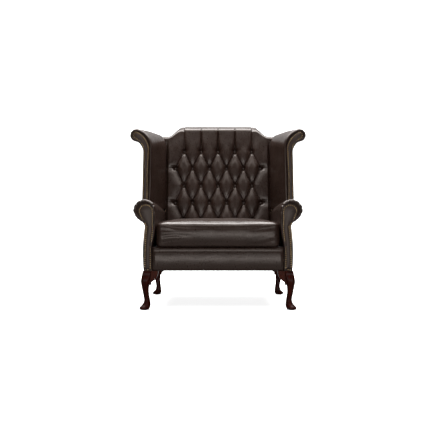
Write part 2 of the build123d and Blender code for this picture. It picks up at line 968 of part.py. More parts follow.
glide_reach = leg_shares[-1][1] * leg_top_width - leg_shares[-1][2] * leg_top_width / 2
with BuildPart() as foot_glides:
    with Locations((base_half_width + glide_reach, front_y - glide_reach)):
        Cylinder(glide_radius, glide_height, align=(Align.CENTER, Align.CENTER, Align.MIN))
    mirror(about=leg_mirror)
    mirror(about=Plane.YZ)
finish(foot_glides, "foot_glides")

# Dust cover: tacked under the rails and cut away round the legs and their brackets

cover_half_width = frame_inner + board / 2
cover_front = front_y + border_depth + board / 2
cover_rear = frame_y(leg_height) + board / 2
notch = leg_top_width + bracket_length + clearance
with BuildPart() as dust_cover:
    with BuildSketch(Plane.XY.offset(leg_height - dust_thickness)):
        with Locations((0, (cover_front + cover_rear) / 2)):
            Rectangle(2 * cover_half_width, cover_rear - cover_front)
        for x_side in (-1, 1):
            for corner_y in (front_y, rear_corner_y):
                with Locations((x_side * base_half_width, corner_y)):
                    Rectangle(2 * notch, 2 * notch, mode=Mode.SUBTRACT)
    extrude(amount=dust_thickness)
finish(dust_cover, "dust_cover")

# Loose seat cushion: leather cover with drawn-in sides and crown, and the foam inside it

cushion_rise = leg_height + deck_height + clearance
cushion_front = front_y + cushion_front_gap
cushion_rear = back_y + deck_height * rake_sin / rake_cos - cushion_rear_gap
cushion_depth = cushion_rear - cushion_front


def cushion_form(inset):
    """Crowned block: sections from the underside to the crown, all drawn in by the same inset."""
    with BuildPart() as form:
        for height_share, draw_share in cushion_shares:
            draw = draw_share * cushion_half_width + inset
            height = cushion_rise + inset + height_share * (cushion_height - 2 * inset)
            with BuildSketch(Plane.XY.offset(height)):
                with Locations((0, (cushion_front + cushion_rear) / 2)):
                    RectangleRounded(
                        2 * (cushion_half_width - draw), cushion_depth - 2 * draw, cushion_corner
                    )
        loft(ruled=True)
    return form.part


with BuildPart() as seat_cushion_cover:
    add(cushion_form(0))
    add(cushion_form(cushion_wall), mode=Mode.SUBTRACT)
finish(seat_cushion_cover, "seat_cushion_cover")

with BuildPart() as seat_cushion_core:
    add(cushion_form(cushion_wall + clearance))
finish(seat_cushion_core, "seat_cushion_core")
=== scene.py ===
import math
import bmesh
import bpy
import numpy as np
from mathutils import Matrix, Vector
from mathutils.bvhtree import BVHTree


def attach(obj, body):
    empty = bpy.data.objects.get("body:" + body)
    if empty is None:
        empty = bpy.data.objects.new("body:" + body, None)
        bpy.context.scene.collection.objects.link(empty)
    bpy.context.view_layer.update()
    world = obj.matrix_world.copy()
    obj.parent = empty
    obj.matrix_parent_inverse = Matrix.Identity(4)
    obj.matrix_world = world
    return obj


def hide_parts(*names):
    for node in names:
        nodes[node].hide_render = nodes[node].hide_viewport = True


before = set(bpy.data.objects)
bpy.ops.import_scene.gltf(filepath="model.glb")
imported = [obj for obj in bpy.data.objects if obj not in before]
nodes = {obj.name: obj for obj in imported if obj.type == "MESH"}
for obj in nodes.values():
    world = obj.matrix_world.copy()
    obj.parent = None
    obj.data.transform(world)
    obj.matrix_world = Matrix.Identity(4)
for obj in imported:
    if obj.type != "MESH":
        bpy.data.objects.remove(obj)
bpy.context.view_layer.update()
print("frame loaded:", len(nodes), "CAD nodes")


# Helpers for meshes: a grid of points becomes one smooth piece

def smoothed(piece):
    piece.data.polygons.foreach_set("use_smooth", [True] * len(piece.data.polygons))
    return piece


def coordinates(piece):
    co = np.empty(len(piece.data.vertices) * 3)
    piece.data.vertices.foreach_get("co", co)
    return co.reshape(-1, 3)


def addMesh(name, points, faces, body="chair"):
    mesh = bpy.data.meshes.new(name)
    mesh.from_pydata(np.asarray(points, float).reshape(-1, 3).tolist(), [], faces)
    mesh.update()
    piece = bpy.data.objects.new(name, mesh)
    bpy.context.collection.objects.link(piece)
    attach(piece, body)
    return smoothed(piece)


def gridFaces(rows, columns, closeRows=False, closeColumns=False, start=0):
    lastRow = rows if closeRows else rows - 1
    lastColumn = columns if closeColumns else columns - 1
    r, c = np.meshgrid(np.arange(lastRow), np.arange(lastColumn), indexing="ij")
    r2, c2 = (r + 1) % rows, (c + 1) % columns
    quads = np.stack([r * columns + c, r * columns + c2, r2 * columns + c2, r2 * columns + c], -1)
    return (quads.reshape(-1, 4) + start).tolist()


def tubeFaces(rows, columns, start=0, way=1):
    # rings joined to a tube, with a face over both ends
    first = [start + k for k in range(columns)]
    last = [start + (rows - 1) * columns + k for k in range(columns)]
    return gridFaces(rows, columns, False, True, start) + [first[::-way], last[::way]]


def gridRim(index):
    # the edge of a grid: first row, last column, then back along the last row and the first column
    return np.concatenate([index[0], index[1:, -1], index[-1, -2::-1], index[-2:0:-1, 0]]).tolist()


def outward(piece):
    # faces turned to the outside, doubles merged
    bm = bmesh.new()
    bm.from_mesh(piece.data)
    bmesh.ops.remove_doubles(bm, verts=bm.verts, dist=1e-5)
    bmesh.ops.recalc_face_normals(bm, faces=bm.faces)
    bm.to_mesh(piece.data)
    bm.free()
    return smoothed(piece)


def smoothStep(low, high, value):
    t = np.clip((value - low) / (high - low), 0, 1)
    return t * t * (3 - 2 * t)


def unit(vectors):
    return vectors / (np.linalg.norm(vectors, axis=1)[:, None] + 1e-12)


def arcRun(start, end, rise, count):
    # points from start up to end on an arc that bulges by rise to the left of travel
    start, end = np.array(start, float), np.array(end, float)
    chord = end - start
    length = np.hypot(*chord)
    share = np.linspace(0, 1, count, endpoint=False)
    straight = start + chord * share[:, None]
    if abs(rise) < 1e-6:
        return straight
    radius = (length ** 2 / 4 + rise ** 2) / (2 * abs(rise))
    along = (share - 0.5) * length
    sag = np.sqrt(radius ** 2 - along ** 2) - (radius - abs(rise))
    left = np.array([-chord[1], chord[0]]) / length
    return straight + left * (np.sign(rise) * sag)[:, None]


def outlineRun(steps, counts):
    # closed outline of arcs, the same number of points on each arc at every section
    closed = steps + steps[:1]
    runs = [arcRun(a[0], b[0], a[1], n) for a, b, n in zip(closed, closed[1:], counts)]
    return np.concatenate(runs)


def softCorner(start, corner, end, count=8):
    # points that round a corner
    k = np.linspace(0, 1, count)[:, None]
    return np.array(start) * (1 - k) ** 2 + 2 * k * (1 - k) * np.array(corner) + k * k * np.array(end)


def inset(loop, distance):
    # closed loop in its plane moved inwards, the inside lies to the right of travel
    ahead = unit(np.roll(loop, -1, 0) - loop)
    behind = unit(loop - np.roll(loop, 1, 0))
    mean = unit(ahead + behind)
    right = np.stack([mean[:, 1], -mean[:, 0]], 1)
    bend = np.clip((right * np.stack([ahead[:, 1], -ahead[:, 0]], 1)).sum(1), 0.6, 1)
    return loop + right * (distance / bend)[:, None]


def resample(points, count, closed=False):
    points = np.asarray(points, float)
    if closed:
        points = np.vstack([points, points[:1]])
    steps = np.linalg.norm(np.diff(points, axis=0), axis=1)
    travelled = np.concatenate([[0], np.cumsum(steps)])
    wanted = np.linspace(0, travelled[-1], count, endpoint=not closed)
    return np.stack([np.interp(wanted, travelled, points[:, k]) for k in range(points.shape[1])], 1)


def tube(name, path, radius, sides=10):
    # round welt along a run of points
    ahead = np.roll(path, -1, 0) - np.roll(path, 1, 0)
    ahead[0], ahead[-1] = path[1] - path[0], path[-1] - path[-2]
    ahead = unit(ahead)
    side = unit(np.cross(ahead, [0.31, 0.22, 0.92]))         # a direction that no welt runs in
    up = np.cross(side, ahead)
    angle = np.linspace(0, 2 * math.pi, sides, endpoint=False)
    rings = path[:, None] + radius * (side[:, None] * np.cos(angle)[None, :, None]
                                      + up[:, None] * np.sin(angle)[None, :, None])
    return outward(addMesh(name, rings, tubeFaces(len(path), sides)))


def mirrored(piece, name):
    # left twin of a piece on the right
    twin = bpy.data.objects.new(name, piece.data.copy())
    bpy.context.collection.objects.link(twin)
    twin.data.vertices.foreach_set("co", (coordinates(twin) * [-1, 1, 1]).ravel())
    twin.data.flip_normals()
    twin.data.update()
    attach(twin, "chair")
    return twin


def rollNoise(points, size, seed, waves=7, step=0.35):
    # smooth unevenness of hand worked padding, the same each run
    p = np.asarray(points, float) / size
    rng = np.random.default_rng(100 + seed)
    total = np.zeros(p.shape[:-1])
    for k in range(waves):
        direction = rng.normal(size=3)
        direction /= np.linalg.norm(direction)
        total += np.sin(p @ (direction * (1 + step * k)) * 2.2 + rng.uniform(0, 6.28)) / (1 + step * k)
    return total / 3.2


# Shader groups: each effect is built once and placed in the materials with its own values

def addNode(tree, kind, links=None, **settings):
    node = tree.nodes.new(kind)
    for key, value in settings.items():
        setattr(node, key, value)
    for socket, value in (links or {}).items():
        target = node.inputs[socket]
        if isinstance(value, bpy.types.NodeSocket):
            tree.links.new(value, target)
        else:
            target.default_value = value
    return node


def newGroup(name, inputs, outputs):
    tree = bpy.data.node_groups.new(name, "ShaderNodeTree")
    for socketName, value in inputs.items():
        socket = tree.interface.new_socket(name=socketName, in_out="INPUT", socket_type="NodeSocketFloat")
        socket.default_value = value
    for socketName in outputs:
        tree.interface.new_socket(name=socketName, in_out="OUTPUT", socket_type="NodeSocketFloat")
    return tree, addNode(tree, "NodeGroupInput").outputs, addNode(tree, "NodeGroupOutput").inputs


def calc(tree, operation, first, second=0.0):
    return addNode(tree, "ShaderNodeMath", {0: first, 1: second}, operation=operation).outputs[0]


def times(tree, first, second):
    return calc(tree, "MULTIPLY", first, second)


def plus(tree, first, second):
    return calc(tree, "ADD", first, second)


def spread(tree, value, low, high, toLow=0.0, toHigh=1.0):
    return addNode(tree, "ShaderNodeMapRange", {"Value": value, "From Min": low, "From Max": high,
                                                "To Min": toLow, "To Max": toHigh}).outputs["Result"]


def ownPlace(tree):
    return addNode(tree, "ShaderNodeTexCoord").outputs["Object"]


def noise(tree, place, scale, detail, roughness=0.5, distortion=0.0):
    values = {"Vector": place, "Scale": scale, "Detail": detail, "Roughness": roughness,
              "Distortion": distortion}
    return addNode(tree, "ShaderNodeTexNoise", values).outputs["Fac"]


def makeLeatherGrain():
    scales = {"Pebble Scale": 700.0, "Wrinkle Scale": 90.0, "Mottle Scale": 9.0}
    tree, given, out = newGroup("leatherGrain", scales, ["Height", "Mottle", "Pull Up"])
    place = ownPlace(tree)
    pebble = addNode(tree, "ShaderNodeTexVoronoi", {"Vector": place, "Scale": given["Pebble Scale"]},
                     feature="DISTANCE_TO_EDGE").outputs["Distance"]
    wrinkle = noise(tree, place, given["Wrinkle Scale"], 5.0, 0.62, 0.5)
    mottle = noise(tree, place, given["Mottle Scale"], 6.0, 0.55)
    height = plus(tree, times(tree, spread(tree, pebble, 0.0, 0.28), 0.35), times(tree, wrinkle, 0.9))
    tree.links.new(height, out["Height"])
    tree.links.new(spread(tree, mottle, 0.32, 0.68), out["Mottle"])
    tree.links.new(spread(tree, wrinkle, 0.36, 0.62), out["Pull Up"])
    return tree


def makeWoodGrain():
    scales = {"Streak Scale": 40.0, "Pore Scale": 500.0, "Length": 0.08}
    tree, given, out = newGroup("woodGrain", scales, ["Height", "Streak"])
    split = addNode(tree, "ShaderNodeSeparateXYZ", {"Vector": ownPlace(tree)}).outputs
    axes = {"X": split["X"], "Y": split["Y"], "Z": times(tree, split["Z"], given["Length"])}
    stretched = addNode(tree, "ShaderNodeCombineXYZ", axes).outputs[0]
    streak = noise(tree, stretched, given["Streak Scale"], 4.0, 0.6, 1.2)
    pore = noise(tree, stretched, given["Pore Scale"], 2.0)
    tree.links.new(spread(tree, streak, 0.38, 0.66), out["Streak"])
    tree.links.new(plus(tree, times(tree, streak, 0.3), times(tree, pore, 0.7)), out["Height"])
    return tree


def makeWear():
    # rubbed edges, and dust that settles on faces that look up
    scales = {"Edge Width": 0.06, "Dust Scale": 30.0, "Dust Amount": 0.3}
    tree, given, out = newGroup("wearAndDust", scales, ["Edge", "Dust"])
    geometry = addNode(tree, "ShaderNodeNewGeometry").outputs
    speck = noise(tree, ownPlace(tree), given["Dust Scale"], 6.0, 0.65)
    edge = spread(tree, geometry["Pointiness"], 0.505, plus(tree, given["Edge Width"], 0.5))
    upward = addNode(tree, "ShaderNodeSeparateXYZ", {"Vector": geometry["Normal"]}).outputs["Z"]
    dust = times(tree, spread(tree, upward, 0.55, 1.0), spread(tree, speck, 0.4, 0.75))
    tree.links.new(times(tree, edge, spread(tree, speck, 0.3, 0.6)), out["Edge"])
    tree.links.new(times(tree, dust, given["Dust Amount"]), out["Dust"])
    return tree


def makeWeave():
    scales = {"Thread Scale": 400.0, "Slub Scale": 25.0}
    tree, given, out = newGroup("plainWeave", scales, ["Height", "Thread"])
    place = ownPlace(tree)
    split = addNode(tree, "ShaderNodeSeparateXYZ", {"Vector": place}).outputs
    warp = calc(tree, "SINE", times(tree, split["X"], given["Thread Scale"]))
    weft = calc(tree, "SINE", times(tree, plus(tree, split["Y"], split["Z"]), given["Thread Scale"]))
    slub = noise(tree, place, given["Slub Scale"], 4.0)
    height = plus(tree, spread(tree, times(tree, warp, weft), -1.0, 1.0), times(tree, slub, 0.5))
    tree.links.new(height, out["Height"])
    tree.links.new(slub, out["Thread"])
    return tree


effects = {"leather": makeLeatherGrain(), "wood": makeWoodGrain(), "wear": makeWear(), "weave": makeWeave()}


def effect(tree, name, values):
    node = addNode(tree, "ShaderNodeGroup")
    node.node_tree = effects[name]
    for socket, value in values.items():
        node.inputs[socket].default_value = value
    return node.outputs


def wearEffect(tree, edgeWidth, dustScale, dust):
    return effect(tree, "wear", {"Edge Width": edgeWidth, "Dust Scale": dustScale, "Dust Amount": dust})


def newMaterial(name, fixed):
    material = bpy.data.materials.new(name)
    material.use_nodes = True
    material.node_tree.nodes.clear()
    shader = addNode(material.node_tree, "ShaderNodeBsdfPrincipled", fixed)
    addNode(material.node_tree, "ShaderNodeOutputMaterial", {"Surface": shader.outputs["BSDF"]})
    material.diffuse_color = (0.1, 0.08, 0.07, 1)
    return material, material.node_tree, shader


def blendColor(tree, share, first, second):
    mix = addNode(tree, "ShaderNodeMix", data_type="RGBA")
    for socket, value in ((0, share), (6, first), (7, second)):
        if isinstance(value, bpy.types.NodeSocket):
            tree.links.new(value, mix.inputs[socket])
        else:
            mix.inputs[socket].default_value = value if socket == 0 else (*value, 1)
    return mix.outputs[2]


def paint(tree, shader, color, roughness, height, bump, distance):
    # what varies over the surface: colour, roughness and relief
    relief = addNode(tree, "ShaderNodeBump", {"Strength": bump, "Distance": distance, "Height": height})
    tree.links.new(color, shader.inputs["Base Color"])
    tree.links.new(roughness, shader.inputs["Roughness"])
    tree.links.new(relief.outputs["Normal"], shader.inputs["Normal"])


def leather(name, look):
    material, tree, shader = newMaterial(name, {"Specular IOR Level": look["specular"], "IOR": 1.5,
                                                "Specular Tint": look["tint"]})
    grain = effect(tree, "leather", {"Pebble Scale": look["pebble"], "Wrinkle Scale": look["wrinkle"],
                                     "Mottle Scale": look["mottle"]})
    wear = wearEffect(tree, 0.08, 45.0, look["dust"])
    hide = blendColor(tree, grain["Mottle"], look["deep"], look["light"])
    pulled = blendColor(tree, times(tree, grain["Pull Up"], look["pullUp"]), hide, look["rubbed"])
    rubbed = blendColor(tree, times(tree, wear["Edge"], look["edge"]), pulled, look["rubbed"])
    gloss = spread(tree, grain["Pull Up"], 0.0, 1.0, look["rough"] + 0.05, look["rough"] - 0.04)
    paint(tree, shader, blendColor(tree, wear["Dust"], rubbed, look["dustColor"]),
          plus(tree, gloss, times(tree, wear["Dust"], 0.4)), grain["Height"], look["bump"], 0.0008)
    return material


hideLook = {
    "deep": (0.0148, 0.0066, 0.0042), "light": (0.0212, 0.0106, 0.0074), "rubbed": (0.046, 0.029, 0.022),
    "tint": (1.0, 0.90, 0.84, 1.0), "dustColor": (0.30, 0.27, 0.24), "rough": 0.305, "specular": 0.42,
    "pebble": 620.0, "wrinkle": 110.0, "mottle": 7.0, "pullUp": 0.16, "edge": 0.30, "dust": 0.02,
    "bump": 0.11,
}
hide = leather("brownHide", hideLook)
hideFacing = leather("facingHide", {**hideLook, "rough": 0.41, "mottle": 12.0, "bump": 0.18})
hideBack = leather("outsideHide", {**hideLook, "rough": 0.44, "pebble": 480.0, "bump": 0.45, "dust": 0.05})
hideWelt = leather("weltHide", {**hideLook, "deep": (0.014, 0.0075, 0.0055), "rough": 0.40, "edge": 0.6,
                                "wrinkle": 220.0})


def wood(name, look):
    fixed = {"Coat Weight": look["coat"], "Coat Roughness": look["coatRough"], "Coat IOR": 1.5,
             "Specular IOR Level": look["specular"]}
    material, tree, shader = newMaterial(name, fixed)
    grain = effect(tree, "wood", {"Streak Scale": look["streak"], "Pore Scale": look["pore"],
                                  "Length": look["length"]})
    wear = wearEffect(tree, look["edgeWidth"], 60.0, look["dust"])
    stained = blendColor(tree, grain["Streak"], look["dark"], look["light"])
    worn = blendColor(tree, times(tree, wear["Edge"], look["edge"]), stained, look["rubbed"])
    paint(tree, shader, blendColor(tree, wear["Dust"], worn, look["dustColor"]),
          spread(tree, grain["Height"], 0.2, 0.8, look["rough"] - 0.06, look["rough"] + 0.08),
          grain["Height"], look["bump"], 0.0006)
    return material


mahoganyLook = {
    "dark": (0.0125, 0.0010, 0.0002), "light": (0.042, 0.0040, 0.0009), "rubbed": (0.07, 0.016, 0.006),
    "dustColor": (0.30, 0.26, 0.22), "streak": 46.0, "pore": 620.0, "length": 0.10, "rough": 0.36,
    "coat": 0.06, "coatRough": 0.14, "specular": 0.06, "edgeWidth": 0.07, "edge": 0.45, "dust": 0.04,
    "bump": 0.16,
}
beechLook = {
    "dark": (0.42, 0.27, 0.15), "light": (0.62, 0.44, 0.27), "rubbed": (0.68, 0.50, 0.33),
    "dustColor": (0.30, 0.26, 0.22), "streak": 60.0, "pore": 700.0, "length": 0.12, "rough": 0.55,
    "coat": 0.0, "coatRough": 0.3, "specular": 0.4, "edgeWidth": 0.08, "edge": 0.5, "dust": 0.1,
    "bump": 0.25,
}
mahogany = wood("mahoganyPolish", mahoganyLook)
beech = wood("beechFrame", beechLook)


def metal(name, look):
    material, tree, shader = newMaterial(name, {"Metallic": 1.0})
    patina = noise(tree, ownPlace(tree), look["patinaScale"], 5.0, 0.6)
    wear = wearEffect(tree, 0.10, 90.0, look["dust"])
    # painted shade and painted highlight: faces turned away from the front get a near-black rim colour, faces
    # turned to the front keep the metal's colour as a painted highlight
    turned = addNode(tree, "ShaderNodeTexCoord").outputs["Normal"]
    turned = addNode(tree, "ShaderNodeSeparateXYZ", {"Vector": turned}).outputs["Y"]
    crown = spread(tree, turned, look["rimTurn"], look["crownTurn"])
    shade = blendColor(tree, spread(tree, patina, 0.38, 0.62), look["dark"], look["light"])
    toneWithPaintedLight = blendColor(tree, crown, look["paintedRimShade"], shade)
    worn = blendColor(tree, times(tree, wear["Edge"], look["edge"]), toneWithPaintedLight, look["bright"])
    paint(tree, shader, blendColor(tree, wear["Dust"], worn, look["dark"]),
          spread(tree, patina, 0.3, 0.7, look["rough"] + 0.1, look["rough"] - 0.05),
          patina, look["bump"], 0.0003)
    return material


# the near-black rim colour is painted shade, and the crowns turned to the front keep the brass colour as a
# painted highlight
brassLook = {
    "dark": (0.50, 0.34, 0.18), "light": (0.92, 0.68, 0.40), "bright": (0.95, 0.72, 0.44),
    "paintedRimShade": (0.012, 0.007, 0.004), "rimTurn": -0.90, "crownTurn": -0.975, "patinaScale": 190.0,
    "rough": 0.44, "edge": 0.0, "dust": 0.1, "bump": 0.2,
}
# the grey rim colour is painted shade on faces turned to the rear
steelLook = {
    "dark": (0.16, 0.16, 0.165), "light": (0.36, 0.36, 0.37), "bright": (0.5, 0.5, 0.5),
    "paintedRimShade": (0.10, 0.10, 0.10), "rimTurn": 0.4, "crownTurn": -0.4, "patinaScale": 120.0, "rough": 0.36,
    "edge": 0.3, "dust": 0.2, "bump": 0.15,
}
brass = metal("antiqueBrass", brassLook)
steel = metal("springSteel", steelLook)


def cloth(name, dark, light, look):
    material, tree, shader = newMaterial(name, {"Specular IOR Level": 0.25, "Sheen Weight": look["sheen"],
                                                "Sheen Roughness": 0.6})
    weave = effect(tree, "weave", {"Thread Scale": look["thread"], "Slub Scale": look["slub"]})
    wear = wearEffect(tree, 0.1, 40.0, look["dust"])
    yarn = blendColor(tree, spread(tree, weave["Thread"], 0.35, 0.65), dark, light)
    paint(tree, shader, blendColor(tree, wear["Dust"], yarn, light),
          spread(tree, weave["Height"], 0.0, 1.4, 0.92, 0.74), weave["Height"], look["bump"], 0.0006)
    return material


deckLining = cloth("deckLining", (0.018, 0.013, 0.011), (0.036, 0.027, 0.023),
                   {"thread": 2600.0, "slub": 40.0, "sheen": 0.2, "dust": 0.15, "bump": 0.4})
jute = cloth("juteWebbing", (0.28, 0.20, 0.11), (0.46, 0.35, 0.21),
             {"thread": 1900.0, "slub": 30.0, "sheen": 0.1, "dust": 0.2, "bump": 0.6})
cambric = cloth("blackCambric", (0.012, 0.012, 0.012), (0.03, 0.03, 0.03),
                {"thread": 3400.0, "slub": 60.0, "sheen": 0.1, "dust": 0.2, "bump": 0.3})
foam = cloth("creamFoam", (0.66, 0.60, 0.42), (0.80, 0.75, 0.58),
             {"thread": 3000.0, "slub": 300.0, "sheen": 0.0, "dust": 0.1, "bump": 0.5})
nylon = cloth("glideNylon", (0.03, 0.025, 0.022), (0.07, 0.06, 0.05),
              {"thread": 4000.0, "slub": 200.0, "sheen": 0.0, "dust": 0.3, "bump": 0.1})
thread = cloth("linenThread", (0.05, 0.032, 0.022), (0.10, 0.068, 0.048),
               {"thread": 5000.0, "slub": 300.0, "sheen": 0.1, "dust": 0.05, "bump": 0.4})
print("materials made")


def finishWith(piece, material):
    piece.data.materials.clear()
    piece.data.materials.append(material)
    return piece


def dressed(piece, material, node):
    # the piece gets its finish and stands for its CAD node
    finishWith(piece, material)
    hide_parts(node)
    return piece


def bothSides(piece, material, name, node):
    # the right piece and its left twin
    dressed(piece, material, node + "_right")
    dressed(mirrored(piece, name + "Left"), material, node + "_left")


# The raked back frame, which the pads, panels and the cushion follow

rake = math.radians(10.5)
backFoot = np.array([0.0, 0.1368, 0.214])       # pillow tops at the height of the rails
upBack = np.array([0.0, math.sin(rake), math.cos(rake)])
intoBack = np.array([0.0, math.cos(rake), -math.sin(rake)])


def onBack(x, s, t):
    # a place from its distance aside, up the rake and into the back
    x, s, t = np.broadcast_arrays(x, s, t)
    return backFoot + x[..., None] * np.array([1.0, 0, 0]) + s[..., None] * upBack + t[..., None] * intoBack


def framePlane(z, into=0.098):
    # depth of the raked frame at a height
    return backFoot[1] + into / math.cos(rake) + (z - backFoot[2]) * math.tan(rake)


# The buttoned back: a fine grid over the raked plane, set back at pleats and buttons

tufting = {
    "pitch": 0.1125, "rowPitch": 0.1165, "topRow": 0.751, "counts": (5, 6, 5, 6, 5), "lowest": 0.150,
    "pleatDepth": 0.0165, "buttonDepth": 0.030, "pillow": 3.0, "creaseDepth": 0.0032,
    "creaseWidth": 0.0032, "fold": 0.0016, "foldAway": 0.0075, "foldWidth": 0.0032, "pit": 0.010,
    "pitRadius": 0.0135, "sideDepth": 0.004, "sideReach": 0.062, "sidePleat": 0.0095,
    # at the buttons, change up to the crest, and its power
    "fluteSlope": (1.8, 20.0, 1.1), "fluteDepth": (1.45, 1.15, 0.8),
}
crest = {
    "height": 0.921, "flat": 0.236, "shoulder": 0.338, "fall": 0.054, "edgeDrop": 0.022,
    "edgeRadius": 0.013, "rearDepth": 0.112, "rearRise": 0.028, "rearRadius": 0.020, "rearWidth": 0.3925,
    "frontWidth": 0.3415,
}
backGrid = {
    "columns": 351, "frontRows": 330, "topRows": 84,
    "plain": 0.92, "bare": 0.336,                       # share of the columns, and where the posts show
    # widening over the front edge, at the shoulders and behind the crest: from, to, share
    "overFront": (0.004, 0.050, 0.85), "atShoulder": (0.74, 0.83, 0.5), "overRear": (0.088, 0.100, 0.15),
    "shallow": 0.82, "wave": 0.0011, "tuck": 0.012, "tuckWidth": 0.016, "hang": 0.040, "hangFrom": 0.83,
}


def crestHeight(x):
    # flat crest, S-shaped fall and level shoulders
    return crest["height"] - crest["fall"] * smoothStep(crest["flat"], crest["shoulder"], np.abs(x))


# height of each row of buttons, and their places aside
buttonRows = []
for row, n in enumerate(tufting["counts"]):
    places = [(k - (n - 1) / 2) * tufting["pitch"] for k in range(n)]
    buttonRows.append((tufting["topRow"] - row * tufting["rowPitch"], places))
lastRow, lowest = buttonRows[-1][0], tufting["lowest"]


def backPleats():
    # pleats as runs in the plane of the back, from start to end
    pleats = []
    for (high, upper), (under, lower) in zip(buttonRows, buttonRows[1:]):
        pleats += [((x, high), (other, under)) for x in upper for other in lower
                   if abs(abs(x - other) - tufting["pitch"] / 2) < 1e-6]
    flutes = [((x, buttonRows[0][0]), (x * 1.01, 1.05)) for x in buttonRows[0][1]]
    feet = [((x, lastRow), (x, lowest)) for x in buttonRows[-1][1]]
    side = crest["frontWidth"] + 0.02
    sides = [((math.copysign(row[1][-1], way), row[0]), (math.copysign(side, way), row[0] + 0.004))
             for row in (buttonRows[1], buttonRows[3]) for way in (-1, 1)]
    return pleats, flutes, feet, sides


def distanceTo(x, s, start, end):
    run = np.array(end) - np.array(start)
    share = np.clip(((x - start[0]) * run[0] + (s - start[1]) * run[1]) / (run @ run), 0, 1)
    return np.hypot(x - start[0] - share * run[0], s - start[1] - share * run[1]), share


def tuftDepth(x, s):
    # how far the leather lies behind the pillow tops
    pitch, topRow = tufting["pitch"], tufting["topRow"]
    pleatDepth, extra = tufting["pleatDepth"], tufting["buttonDepth"] - tufting["pleatDepth"]
    down = (topRow - s) / tufting["rowPitch"]

    def rounded(value):
        return 1 - np.abs(2 * (value - np.floor(value)) - 1) ** tufting["pillow"]

    # diamonds between the rows, columns above the first row and below the last
    u, v = rounded((x / (pitch / 2) + down) / 2), rounded((-x / (pitch / 2) + down) / 2)
    diamond = pleatDepth * (1 - u * v) + extra * ((1 - u) * (1 - v)) ** 1.4
    column = np.abs(np.mod(x / pitch + 0.5, 1) - 0.5) * 2      # 0 on a flute's pleat, 1 midway
    above = np.clip((s - topRow) / (crest["height"] - topRow), 0, 1.3)
    share = np.clip(above, 0, 1)
    wide, narrow, power = tufting["fluteSlope"]             # wide slopes at the buttons, narrow at the crest
    slope = wide + narrow * share ** power
    deep, fading, power = tufting["fluteDepth"]
    flute = pleatDepth * (deep - fading * share ** power) * (1 - column) ** slope
    flute = flute + extra * np.exp(-above * 12) * (1 - column) ** 4
    blendTop = smoothStep(-0.030, 0.050, s - topRow - (column - 0.5) * 0.02)
    depth = diamond * (1 - blendTop) + flute * blendTop
    foot = smoothStep(-0.02, 0.05, lastRow - s)
    depth = depth * (1 - foot) + pleatDepth * 1.1 * (1 - column) ** 2.2 * foot
    # smooth sides beyond the outer buttons, drawn in along the pleats that bound them
    pleats, flutes, feet, sides = backPleats()
    zig = np.abs(np.mod(down, 2) - 1)                      # 1 at rows of five, 0 at rows of six
    outer = np.where(s > topRow, pitch * 2, pitch * (2 + 0.5 * (1 - zig)))
    bound = np.full_like(x, 1.0)
    for start, end in pleats + flutes + feet:
        if abs(start[0]) + abs(end[0]) > pitch * 3.9:
            bound = np.minimum(bound, distanceTo(x, s, start, end)[0])
    drawn = 1 - np.clip(bound / tufting["sideReach"], 0, 1)
    sideDepth = tufting["sideDepth"] + pleatDepth * 0.95 * drawn ** 2.2
    beyond = smoothStep(-0.002, 0.006, np.abs(x) - outer)
    depth = depth * (1 - beyond) + sideDepth * beyond
    crease, fold = np.zeros_like(x), np.zeros_like(x)
    for group, strength in ((pleats, 1.0), (flutes, 0.75), (feet, 0.6), (sides, 0.35)):
        for start, end in group:
            away, along = distanceTo(x, s, start, end)
            fade = np.ones_like(away) if group is pleats else 1 - 0.45 * along
            if group is flutes:
                fade = 1 - 0.35 * smoothStep(0.2, 0.9, along)
            foldLine = (away - tufting["foldAway"]) / tufting["foldWidth"]
            crease = np.maximum(crease, strength * fade * np.exp(-(away / tufting["creaseWidth"]) ** 1.3))
            fold = np.maximum(fold, strength * fade * np.exp(-foldLine ** 2))
            if group is sides:
                soft = np.clip(1 - along, 0, 1) ** 0.8
                depth = depth + tufting["sidePleat"] * soft * np.exp(-(away / (0.014 + 0.012 * along)) ** 2)
    depth = depth + tufting["creaseDepth"] * crease - tufting["fold"] * fold
    for height, places in buttonRows:
        for place in places:
            away = np.hypot(x - place, s - height)
            depth = depth + tufting["pit"] * np.exp(-(away / tufting["pitRadius"]) ** 2.6)
    return depth


def backProfile(x, count):
    # from the foot of the pad up the front, over the crest and down behind it
    top = crestHeight(x)
    edge, rounding = top - crest["edgeDrop"], crest["edgeRadius"]
    ridge = top + crest["rearRise"] * (1 - 0.55 * smoothStep(0.24, 0.36, np.abs(x)))
    # round over the front edge, up the sloping top, round the rear edge
    slopeTop = np.array([ridge, crest["rearDepth"] - crest["rearRadius"]])
    lead = slopeTop - [edge, rounding]
    lead /= np.hypot(*lead)
    over = softCorner([edge - rounding, 0.0], [edge, 0.0], [edge, 0.0] + lead * rounding * 1.5)[1:]
    behind = softCorner(slopeTop, [ridge + 0.004, crest["rearDepth"]], [ridge - 0.016, 0.1285])
    path = np.vstack([[(lowest, 0.0), (edge - rounding, 0.0)], over, behind, [(top - 0.035, 0.1288)]])
    return resample(path, count).T


def widened(key, value):
    low, high, share = backGrid[key]
    return share * smoothStep(low, high, value)


